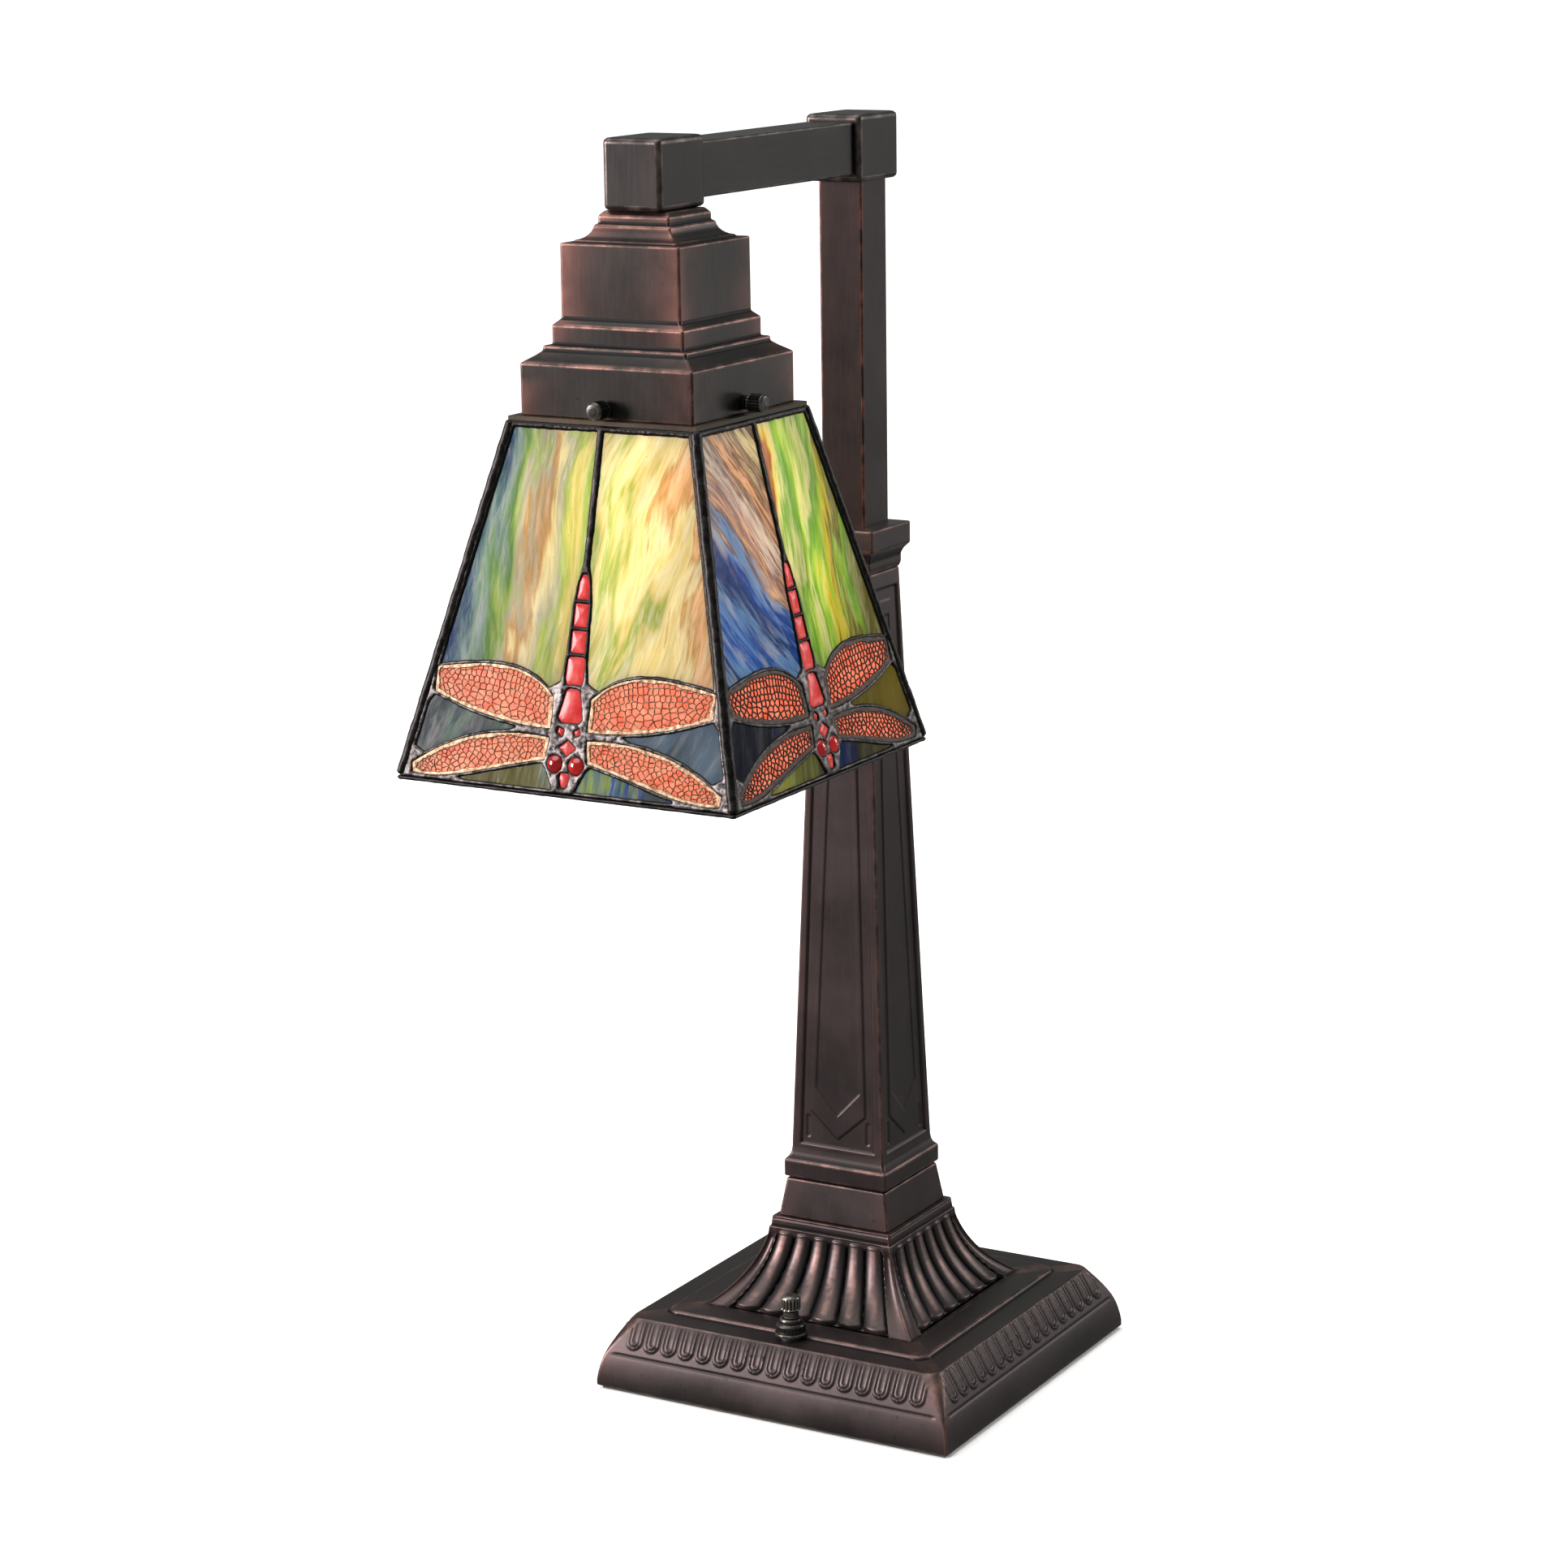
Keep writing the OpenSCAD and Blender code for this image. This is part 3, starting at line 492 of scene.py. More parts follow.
def lathe(profile, fillet=0.3, step=1.0, segments=48, relief=None, closed=False):
    """Turned solid around the Z axis from a profile of [radius, height] points; relief(angle, radius, height)."""
    profile = [*profile, profile[0]] if closed else profile
    rows, edge = profile_rows(profile, fillet, step, 0.4)
    if closed:
        rows, edge = rows[:-1], edge[:-1]
    r, z = rows[:, :1], rows[:, 1:]
    angle = np.radians(np.arange(segments) * 360 / segments)[None]
    lift = np.zeros((len(rows), segments)) if relief is None else relief(angle, r, z)
    radius = r + lift
    points = np.stack([radius * np.cos(angle), radius * np.sin(angle), z + 0 * radius], axis=-1)
    # Raised ridges add to the worn edge value; grooves lower it, for grime and painted shade
    worn = edge[:, None] + np.clip((lift - lift.mean(axis=1, keepdims=True)) * 3, -1, 1)
    return points.reshape(-1, 3), ring_faces(len(rows), segments, closed), {"edge": worn.reshape(-1)}


def bezier(curve, t):
    """Points on a cubic Bezier curve."""
    c = np.array(curve, float)
    t = np.atleast_1d(t)[:, None]
    return (1 - t) ** 3 * c[0] + 3 * t * (1 - t) ** 2 * c[1] + 3 * t * t * (1 - t) * c[2] + t**3 * c[3]


def signed_distance(x, y, loops):
    """Distance from points to the outlines of closed loops, negative inside them."""
    best = np.full(x.shape, 1e9)
    inside = np.zeros(x.shape, bool)
    for loop in loops:
        within = np.zeros(x.shape, bool)
        for (ax, ay), (bx, by) in zip(loop, np.roll(loop, -1, axis=0)):
            dx, dy = bx - ax, by - ay
            t = np.clip(((x - ax) * dx + (y - ay) * dy) / (dx * dx + dy * dy + 1e-12), 0, 1)
            best = np.minimum(best, (x - ax - t * dx) ** 2 + (y - ay - t * dy) ** 2)
            if ay != by:
                within ^= ((ay > y) != (by > y)) & (x < ax + (y - ay) * dx / dy)
        inside |= within
    return np.where(inside, -1, 1) * np.sqrt(best)


def cut_grid(xs, ys, field):
    """Flat mesh of the part of a grid where a field is positive, cut cleanly along its edge."""
    inside = field > 0
    points, index = [], {}

    def corner(i, j):
        if (i, j) not in index:
            index[i, j] = len(points)
            points.append((xs[i], ys[j]))
        return index[i, j]

    def crossing(a, b):
        key = (a, b) if a < b else (b, a)
        if key not in index:
            (i, j), (k, m) = key
            t = min(0.92, max(0.08, field[i, j] / (field[i, j] - field[k, m])))
            index[key] = len(points)
            points.append((xs[i] + t * (xs[k] - xs[i]), ys[j] + t * (ys[m] - ys[j])))
        return index[key]

    used = inside[:-1, :-1] | inside[1:, :-1] | inside[:-1, 1:] | inside[1:, 1:]
    faces = []
    for i, j in np.argwhere(used).tolist():
        ring = [(i, j), (i + 1, j), (i + 1, j + 1), (i, j + 1)]
        face = []
        for a, b in zip(ring, ring[1:] + ring[:1]):
            if inside[a]:
                face.append(corner(*a))
            if inside[a] != inside[b]:
                face.append(crossing(a, b))
        if len(face) > 2:
            faces.append(face)
    return np.array(points), faces


def thicken(flat, faces, top, low):
    """Closed plate from a flat mesh, with a height for each point's top and underside."""
    count = len(flat)
    points = np.vstack([np.column_stack([flat, top]), np.column_stack([flat, low])])
    once = set()
    for face in faces:
        for a, b in zip(face, face[1:] + face[:1]):
            if (b, a) in once:
                once.remove((b, a))
            else:
                once.add((a, b))
    walls = [[b, a, a + count, b + count] for a, b in sorted(once)]
    return points, faces + [[i + count for i in f[::-1]] for f in faces] + walls


def sample(xs, ys, field, points):
    """Value of a grid at points inside it."""
    u = np.clip((points[:, 0] - xs[0]) / (xs[1] - xs[0]), 0, len(xs) - 1.001)
    v = np.clip((points[:, 1] - ys[0]) / (ys[1] - ys[0]), 0, len(ys) - 1.001)
    i, j = u.astype(int), v.astype(int)
    fu, fv = u - i, v - j
    low = field[i, j] * (1 - fu) + field[i + 1, j] * fu
    high = field[i, j + 1] * (1 - fu) + field[i + 1, j + 1] * fu
    return low * (1 - fv) + high * fv


def join(parts):
    """Several meshes as one."""
    points, faces, fields, count = [], [], {}, 0
    for part_points, part_faces, part_fields in parts:
        points.append(part_points)
        faces += [[i + count for i in f] for f in part_faces]
        for key, values in part_fields.items():
            fields.setdefault(key, []).append(values)
        count += len(part_points)
    return np.vstack(points), faces, {key: np.concatenate(values) for key, values in fields.items()}


def grown(loop, by):
    """A loop moved outwards, for glass that reaches under its seams."""
    loop = np.array(loop, float)
    area = np.sum(loop[:, 0] * np.roll(loop[:, 1], -1) - np.roll(loop[:, 0], -1) * loop[:, 1])
    along = np.roll(loop, -1, axis=0) - np.roll(loop, 1, axis=0)
    along /= np.linalg.norm(along, axis=1, keepdims=True) + 1e-9
    return loop + np.column_stack([along[:, 1], -along[:, 0]]) * by * np.sign(area)


def dense(loop, step):
    """A loop with extra points along its sides."""
    out = []
    for a, b in zip(loop, np.roll(loop, -1, axis=0)):
        count = max(1, round(np.linalg.norm(b - a) / step))
        out.extend(a + (b - a) * i / count for i in range(count))
    return np.array(out)


def mirrored(loop):
    return (np.array(loop, float) * [-1, 1])[::-1]


def to_plane(loop):
    """[across, down] points as X and Y of the face's plane, counter-clockwise."""
    loop = np.array(loop, float) * [1, -1]
    area = np.sum(loop[:, 0] * np.roll(loop[:, 1], -1) - np.roll(loop[:, 0], -1) * loop[:, 1])
    return loop if area > 0 else loop[::-1]


# ---- Materials

BRONZE = patina(
    "patina_metal", (0.0210, 0.0180, 0.0180), (0.0375, 0.0295, 0.0295), (0.066, 0.042, 0.039), (0.15, 0.085, 0.072),
    (0.0035, 0.0035, 0.0035), 0.36,
)
# Darker copy of the bronze for the upright tube: a darker finish, deepened further by painted shade
DARK_AND_SHADED_BRONZE = patina(
    "upright_metal", (0.0040, 0.0035, 0.0033), (0.0085, 0.0064, 0.0060), (0.022, 0.012, 0.010), (0.20, 0.075, 0.055),
    (0.003, 0.003, 0.003), 0.34,
)
RUBBED = patina(
    "holder_metal", (0.0076, 0.0086, 0.0078), (0.0138, 0.0148, 0.0130), (0.110, 0.050, 0.041), (0.18, 0.092, 0.072),
    (0.003, 0.003, 0.003), 0.34, sheen_strength=0.95,
)
GUNMETAL = patina(
    "arm_metal", (0.0050, 0.0054, 0.0052), (0.0095, 0.0097, 0.0093), (0.022, 0.018, 0.016), (0.12, 0.095, 0.085),
    (0.0035, 0.0035, 0.0035), 0.36,
)
SCREW = patina(
    "screw_metal", (0.014, 0.014, 0.013), (0.032, 0.031, 0.028), (0.05, 0.045, 0.04), (0.20, 0.19, 0.17),
    (0.004, 0.004, 0.004), 0.28,
)
KNOB = patina(
    "knob_metal", (0.040, 0.038, 0.034), (0.10, 0.095, 0.082), (0.12, 0.11, 0.10), (0.42, 0.40, 0.34),
    (0.008, 0.007, 0.006), 0.22,
)
STEEL = bare_metal("steel", (0.55, 0.54, 0.52), 0.35)
BRASS = bare_metal("brass", (0.66, 0.47, 0.20), 0.32)
FELT = dull("felt", (0.035, 0.060, 0.042), 0.95, 2600, 0.0004, 0.5)
RUBBER = dull("grommet", (0.018, 0.018, 0.018), 0.7, 900, 0.0001)
PLASTIC = dull("dark_plastic", (0.022, 0.022, 0.024), 0.45, 700, 0.00006)
CONNECTOR = dull("connector_plastic", (0.70, 0.45, 0.09), 0.4, 500, 0.00006)
WIRE = dull("wire", (0.60, 0.50, 0.28), 0.5, 900, 0.00008)
PORCELAIN = dull("porcelain", (0.82, 0.80, 0.74), 0.25, 300, 0.00004)
BULB = bulb_frost("bulb_glass", 10.0)
SOLDER = solder_metal("solder", (0.005, 0.0045, 0.004), (0.20, 0.19, 0.185), 0.55, 1.15)
BEAD = solder_metal("solder_bead", (0.004, 0.0036, 0.0034), (0.12, 0.115, 0.11), 0.55, 2.4)
NET = solder_metal("filigree", (0.075, 0.042, 0.02), (0.30, 0.22, 0.14), 0.1, 0.95)
# Darker copy of the filigree metal for the side faces: painted shade
SHADED_NET = solder_metal("shaded_filigree", (0.012, 0.006, 0.004), (0.075, 0.05, 0.04), 0.3, 1.0)
# Near-black brass for the shade collar: painted shade at the join under the holder's skirt
SHADED_BRASS = patina(
    "shaded_brass", (0.02, 0.017, 0.013), (0.05, 0.04, 0.025), (0.08, 0.06, 0.03), (0.2, 0.15, 0.08),
    (0.004, 0.004, 0.004), 0.4,
)

CREAM = (0.80, 0.68, 0.31)
PALE = (0.86, 0.80, 0.50)
TAN = (0.58, 0.36, 0.13)
LIME = (0.43, 0.55, 0.14)
GREEN = (0.16, 0.34, 0.07)
LAVENDER = (0.50, 0.50, 0.40)
MIST = (0.32, 0.44, 0.40)
TEAL = (0.05, 0.19, 0.24)
DEEP_BLUE = (0.006, 0.05, 0.24)
BLUE = (0.012, 0.13, 0.50)
SKY = (0.28, 0.48, 0.74)
PEACH = (0.86, 0.58, 0.34)
ORANGE = (0.52, 0.20, 0.035)
MAUVE = (0.22, 0.12, 0.12)
OLIVE = (0.20, 0.18, 0.02)
LEAF = (0.20, 0.43, 0.03)
BRIGHT_LEAF = (0.44, 0.64, 0.07)
YELLOW = (0.78, 0.64, 0.06)
SLATE = (0.11, 0.15, 0.165)
NAVY = (0.008, 0.013, 0.05)
UMBER = (0.17, 0.08, 0.02)
WHITE = (0.80, 0.74, 0.66)

TALL_GLASS = {
    "front_left": art_glass(
        "tall_glass_1",
        [
            (0.0, DEEP_BLUE), (0.12, TEAL), (0.2, MIST), (0.29, GREEN), (0.37, LIME), (0.45, LAVENDER), (0.53, TAN),
            (0.61, PALE), (0.7, LAVENDER), (0.78, LIME), (0.88, CREAM), (1.0, LIME),
        ],
        (0.0205, -0.0028, 0.90), 0.04, 0.13, wisps=0.35, painted_glow=0.31, fine=0.7,
    ),
    "front_right": art_glass(
        "tall_glass_2",
        [
            (0.0, LIME), (0.07, MIST), (0.12, LIME), (0.2, CREAM), (0.3, PALE), (0.38, LIME), (0.47, CREAM),
            (0.55, PALE), (0.64, CREAM), (0.72, PALE), (0.8, TAN), (0.87, PEACH), (1.0, TAN),
        ],
        (0.0135, 0.0012, 0.25), 0.2, 0.24, wisps=0.65, painted_glow=0.38, swirl=7.0, fine=0.6,
    ),
    "side_left": art_glass(
        "tall_glass_3",
        [
            (0.0, SKY), (0.08, DEEP_BLUE), (0.15, SKY), (0.23, BLUE), (0.3, SKY), (0.36, DEEP_BLUE), (0.43, BLUE),
            (0.48, SKY), (0.53, MAUVE), (0.58, PEACH), (0.63, MAUVE), (0.68, WHITE), (0.73, UMBER), (0.79, PEACH),
            (0.85, UMBER), (0.92, PALE), (1.0, UMBER),
        ],
        (0.0077, 0.00685, 1.03), -0.62, 0.08, (0.80, 0.70, 0.64), 0.6, painted_glow=0.25, swirl=5.0, fine=1.5,
    ),
    "side_right": art_glass(
        "tall_glass_4",
        [
            (0.0, ORANGE), (0.06, YELLOW), (0.14, PALE), (0.22, LEAF), (0.34, BRIGHT_LEAF), (0.44, PALE), (0.5, LEAF),
            (0.6, BRIGHT_LEAF), (0.68, YELLOW), (0.76, OLIVE), (0.84, BRIGHT_LEAF), (0.92, LEAF), (1.0, OLIVE),
        ],
        (0.0175, -0.0018, -0.04), 0.07, 0.13, (0.78, 0.80, 0.46), 0.5, painted_glow=0.3, fine=1.1,
    ),
}
LOW_GLASS = {
    "front_upper": art_glass(
        "low_glass_1", [(0.0, SLATE), (0.4, (0.20, 0.30, 0.24)), (0.6, SLATE), (1.0, (0.20, 0.28, 0.36))],
        (0.01, 0.02, 2.8), 0.3, 0.4, (0.46, 0.52, 0.50), 0.4, 0.22,
    ),
    "front_lower": art_glass(
        "low_glass_2",
        [(0.0, OLIVE), (0.3, (0.27, 0.27, 0.10)), (0.5, MIST), (0.65, LIME), (0.8, BLUE), (1.0, SLATE)],
        (0.012, 0, 0.5), 0.2, 0.2, (0.5, 0.52, 0.36), 0.45, 0.24,
    ),
    "side_upper": art_glass(
        "low_glass_3",
        [(0.0, NAVY), (0.3, (0.012, 0.03, 0.12)), (0.5, NAVY), (0.65, OLIVE), (1.0, (0.34, 0.28, 0.03))],
        (0.011, 0, 0.5), 0.2, 0.14, wisps=0.08, painted_glow=0.12,
    ),
    "side_lower": art_glass(
        "low_glass_4", [(0.0, YELLOW), (0.2, LIME), (0.4, OLIVE), (0.6, DEEP_BLUE), (0.8, NAVY), (1.0, OLIVE)],
        (0.012, 0, 0.5), 0.2, 0.14, wisps=0.12, painted_glow=0.12,
    ),
}
WING_GLASS = lit_glass("wing_glass", (0.92, 0.17, 0.07), (1.0, 0.40, 0.22), 190, 0.62, 0.45, 0.2, 0.0)
STONE = lit_glass("body_glass", (0.72, 0.045, 0.045), (0.92, 0.11, 0.10), 120, 0.5, 0.35, 0.16, 0.12)
EYE = lit_glass("eye_glass", (0.34, 0.003, 0.004), (0.80, 0.018, 0.016), 160, 0.3, 0.25, 0.03, 1.0)

# CAD nodes that show as they are
CAD_FINISHES = [
    (STEEL, "steel", ["base_plate", "plate_screws", "tie_pipe", "pipe_washers", "pipe_nuts", "head_nipple"]),
    (BRASS, "brass", ["socket_cap", "socket_shell", "bulb_base"]),
    (SHADED_BRASS, "brass", ["shade_collar"]),
    (FELT, "felt", ["base_felt"]),
    (RUBBER, "grommet", ["cord_grommet"]),
    (PLASTIC, "dark_plastic", ["switch_body"]),
    (CONNECTOR, "connector_plastic", ["wire_nuts"]),
    (WIRE, "wire", ["lamp_wire"]),
    (PORCELAIN, "porcelain", ["socket_insulator"]),
    (BULB, "bulb_glass", ["bulb_glass"]),
]
for material, slot, nodes in CAD_FINISHES:
    for node in nodes:
        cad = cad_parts[node]
        cad.data.materials.clear()
        cad.data.materials.append(material)

# ---- Base: convex sides with a row of nested U shapes, raised pad, reeded flare

BASE_W, BASE_TOP, PAD_Z = BASE_HIGH[0], BASE_HIGH[2] - 1.5, BASE_HIGH[2]
FOOT_Z = 1.5
BASE_WALL = 4.5
BORE_W = 8
PAD_W = 59.0
OVOLO_R = 51.0
OVOLO_FROM, OVOLO_TO = 7, 38
OVOLO = np.array([
    BASE_W - OVOLO_R * math.cos(math.radians(OVOLO_FROM)),
    BASE_TOP - 0.2 - OVOLO_R * math.sin(math.radians(OVOLO_TO)),
])
U_PITCH, U_BOTTOM = 8.05, 21.0
U_COUNT = 8.45
STEP_Z = 15.2


def on_arc(centre, radius, degrees):
    """Profile points on an arc."""
    return [tuple(centre + radius * np.array([math.cos(t), math.sin(t)])) for t in np.radians(degrees)]


def base_relief(across, w, z):
    """Row of nested U shapes below the top edge, over a soft step."""
    along = (z - U_BOTTOM) / 0.86
    x = (across + U_PITCH / 2) % U_PITCH - U_PITCH / 2
    lift = np.zeros_like(across)
    for r, high in ((2.9, 0.42), (1.3, 0.3)):
        away = np.where(along > 0, np.abs(np.abs(x) - r), np.abs(np.hypot(x, along) - r))
        lip = 1 + 0.5 * ease((-along) / r)
        lift = np.maximum(lift, high * lip * ease(1 - away / 0.85))
    rise = ease((z - 15.8) / 1.2) * ease((BASE_TOP - 0.4 - z) / 0.8)
    row = ease((U_COUNT * U_PITCH - np.abs(across)) / 0.8)
    step = -0.35 * ease(1 - np.abs(z - STEP_Z) / 0.8) * ease((w - 3 - np.abs(across)) / 3)
    return lift * rise * row + step


base_profile = [
    (77.6, FOOT_Z),
    (BASE_W, FOOT_Z),
    *on_arc(OVOLO, OVOLO_R, np.linspace(OVOLO_FROM, OVOLO_TO, 10)),
    (69, BASE_TOP),
    (PAD_W + 0.4, BASE_TOP),
    (PAD_W, PAD_Z - 0.5),
    (PAD_W - 0.7, PAD_Z),
    (BORE_W, PAD_Z),
    (BORE_W, BASE_TOP - BASE_WALL),
    (67, BASE_TOP - BASE_WALL),
    *on_arc(OVOLO, OVOLO_R - BASE_WALL, np.linspace(34, OVOLO_FROM, 5)),
    (75.6, FOOT_Z),
]


def base_step(a, b):
    """Close rows on the rounded side, where the U shapes are."""
    return 0.5 if min(a[0], b[0]) > 69 and max(a[1], b[1]) > 14 and a[1] < b[1] else 4


made = square_loft(
    base_profile, 0.6, base_step, lambda z: 0.9 + 4.5 * ease((z - 12) / 16), 330,
    lambda a, w, z: base_relief(a, w, z) * (np.arange(len(w))[:, None] < len(w) * 0.7), closed=True,
)
make("base_casting", made, BRONZE)

FLARE_CENTRE = np.array([76, 70.8])
NECK_Z = FLARE_HIGH[2]
REED_TOP, REED_LOW = 60.2, 32.2


def reed_pitch(w):
    """Width of one reed where the flare's half width is w."""
    return 8.2 + (w - 28.8) * 0.224


def flare_relief(across, w, z):
    """Six convex reeds with rounded ends on each side, between plain corner strips, under an incised band."""
    pitch = reed_pitch(w)
    u = (across / pitch) % 1 * 2 - 1
    crown = np.sqrt(np.maximum(0, 1 - 0.999 * np.abs(u) ** 2.4))
    reed = 2.4 * (crown - 1) + 0.3
    rounding = 1 - np.sqrt(1 - 0.999 * u**2)
    top = REED_TOP - 2.6 * rounding
    low = REED_LOW + 1.8 * rounding
    body = ease((top - z) / 0.8 + 0.5)
    foot = ease((z - low) / 0.9 + 0.5)
    reeds = body * foot * reed - 0.35 * (1 - body) - 1.9 * (1 - foot)
    side = (np.abs(across) - 3 * pitch) / np.maximum(w - 3 * pitch, 0.1)
    strip = -0.9 * np.sin(np.pi * np.clip(side, 0, 1)) * ease((60 - z) / 3) - 0.2
    edge = ease((np.abs(across) - 3 * pitch) / 0.6 + 0.5)
    lift = reeds * (1 - edge) + strip * edge
    lift = lift * ease((61.6 - z) / 0.5) * ease((z - 31.0) / 0.6)
    for line in (62.3, 65.2):
        lift = lift - 0.3 * ease(1 - np.abs(z - line) / 0.5)
    return lift


def flare_wear_and_shading(across, w, z):
    """Bright crests and dark grooves of the reeds: wear and painted highlight on the crests,
    grime and painted shade in the grooves.
    """
    pitch = reed_pitch(w)
    u = np.abs((across / pitch) % 1 * 2 - 1)
    inside = (np.abs(across) < 3 * pitch) * ease((60 - z) / 2) * ease((z - 33) / 2)
    return inside * (0.95 * ease((0.55 - u) / 0.5) - 1.1 * ease((u - 0.62) / 0.3))


flare_profile = [
    (46, PAD_Z),
    (48.6, PAD_Z + 0.05),
    *on_arc(FLARE_CENTRE, -49, np.linspace(54, 14, 14)),
    (28.2, 61.4),
    (27.6, 61.9),
    (27.1, NECK_Z),
    (BORE_W, NECK_Z),
    (BORE_W, 60),
    (22, 60),
    (29, 42),
    (40, PAD_Z),
]


def outer_only(relief):
    """Relief for the first, outward part of a closed profile only."""
    def limited(across, w, z):
        rising = np.maximum.accumulate(z, axis=0) <= z + 1e-6
        return relief(across, w, z) * rising
    return limited


made = square_loft(
    flare_profile, 0.4, lambda a, b: 0.5 if b[1] > a[1] else 3, 0.9, 200, outer_only(flare_relief), closed=True,
    wear_and_shading=flare_wear_and_shading,
)
make("base_flare", made, BRONZE, sharp=60)

# ---- Column

COLUMN_Z, SHAFT_TOP, CAP_Z = SHAFT_LOW[2], SHAFT_HIGH[2], CAP_HIGH[2]
SHAFT_Z = COLUMN_Z + 12.1
SHAFT_W = (20.9, 12.6)

plinth_profile = [(20, NECK_Z), (25, NECK_Z), (22.6, 81.5), (21.5, 81.8), (21.5, COLUMN_Z), (18, COLUMN_Z)]
make("column_plinth", square_loft(plinth_profile, 0.7, 3, 0.9), BRONZE)


def column_relief(across, w, z):
    """Sunken panel with a raised, pointed tablet on each side of the shaft."""
    x = np.abs(across)
    inner = w - 3.6 + 0.0058 * (z - 95)
    panel = np.minimum(np.minimum(inner - x, z - 96.5), 324 - z)
    half = 12.5 - 0.0353 * (z - 118)
    tablet = np.minimum(np.minimum(half - x, (z - 100 - 0.87 * x) * 0.75), 319 - z)
    plate_half = 10.3 - 0.0365 * (z - 121)
    plate = np.minimum(np.minimum(plate_half - x, (z - 109.5 - 1.07 * x) * 0.68), 313 - z)
    lift = -0.9 * ease(panel / 0.8) + 0.5 * ease(tablet / 0.6) - 0.35 * ease(plate / 0.6)
    slot_z = np.clip(z, 100.5, 108)
    notch = np.hypot(x - 13.6, z - slot_z)
    return lift - 0.35 * ease((1.2 - notch) / 0.7)


def column_step(a, b):
    """Close rows at the ends of the panel."""
    z = (a[1] + b[1]) / 2
    return 0.4 if 95 < z < 126 or 310 < z < 326 else 3


shaft_profile = [(18, COLUMN_Z), (23.3, COLUMN_Z), (23.3, 89.5), (22, 90.6), (21.2, 92.4), (SHAFT_W[0], SHAFT_Z)]
for z in (96, 126, 311, 326):
    t = (z - SHAFT_Z) / (SHAFT_TOP - SHAFT_Z)
    shaft_profile.append((SHAFT_W[0] + (SHAFT_W[1] - SHAFT_W[0]) * t, z))
shaft_profile += [(SHAFT_W[1], SHAFT_TOP), (9, SHAFT_TOP)]
made = square_loft(shaft_profile, 0.7, column_step, 0.8, 110, column_relief)
make("column_shaft", made, BRONZE)

cap_profile = [
    (9, SHAFT_TOP), (SHAFT_W[1], SHAFT_TOP), (13.3, SHAFT_TOP + 2), (13.3, SHAFT_TOP + 5.4),
    (14.2, SHAFT_TOP + 7.4), (16, SHAFT_TOP + 9.4), (16, CAP_Z), (9, CAP_Z),
]
make("column_cap", square_loft(cap_profile, 0.6, 2, 0.8), BRONZE)

# ---- Arm

TUBE = (UPRIGHT_HIGH - UPRIGHT_LOW) / 2
BLOCK_CORE = 4


def tube(low, high):
    """Square tube between two heights."""
    return square_loft([(TUBE[1], low), (TUBE[1], high)], 0.5, 12, 0.7, spread=(TUBE[0] - TUBE[1], 0))


make("upright_tube", tube(UPRIGHT_LOW[2], UPRIGHT_HIGH[2]), DARK_AND_SHADED_BRONZE)
along_y = moved(0, ARM_HIGH[1], (ARM_LOW[2] + ARM_HIGH[2]) / 2) @ Matrix.Rotation(math.radians(90), 4, "X")
make("arm_tube", tube(0, ARM_HIGH[1] - ARM_LOW[1]), GUNMETAL, place=along_y)

for node, low, high in (("elbow_block", ELBOW_LOW, ELBOW_HIGH), ("head_block", HEAD_LOW, HEAD_HIGH)):
    size = (high - low) / 2
    block = [(BLOCK_CORE, 0), (size[1], 0), (size[1], 2 * size[2]), (BLOCK_CORE, 2 * size[2])]
    made = square_loft(block, 1.9, 3, 1.8, spread=(size[0] - size[1], 0), core=size[1] - 2)
    centre = (low + high) / 2
    make(node, made, GUNMETAL, place=moved(centre[0], centre[1], low[2]))

# ---- Holder

HOLDER_Z, SKIRT_W = HOLDER_LOW[2], HOLDER_HIGH[0]
holder_profile = [
    (34.6, HOLDER_Z), (SKIRT_W, HOLDER_Z), (SKIRT_W, 429.9), (33.8, 431.1), (31.9, 432.3), (29.7, 434), (29.6, 435.7),
    (27.2, 436.1), (27.2, 442.8), (24.7, 445.1), (24.6, 471.6), (21.3, 471.7),
    *on_arc(np.array([21.4, 478]), 5.6, np.linspace(264, 186, 7)),
    (14.7, 478), (14.7, 480.6), (13, HOLDER_HIGH[2]), (6, HOLDER_HIGH[2]), (6, 474), (12, 474), (21.8, 467.5),
    (21.8, 445), (24.6, 441.5), (24.6, 432.6), (33, 427.5), (33, HOLDER_Z),
]
made = square_loft(holder_profile, 0.55, 2.5, 0.8, closed=True)
make("shade_holder", made, RUBBED, place=moved(0, SHADE_Y, 0))

# ---- Switch and thumbscrews


def knurl(count, depth, low, high):
    """Straight flutes around a turned head between two heights."""
    def relief(angle, r, z):
        band = ease((z - low) / 0.5) * ease((high - z) / 0.5)
        return -depth * band * (0.5 - 0.5 * np.cos(count * angle)) ** 0.7
    return relief


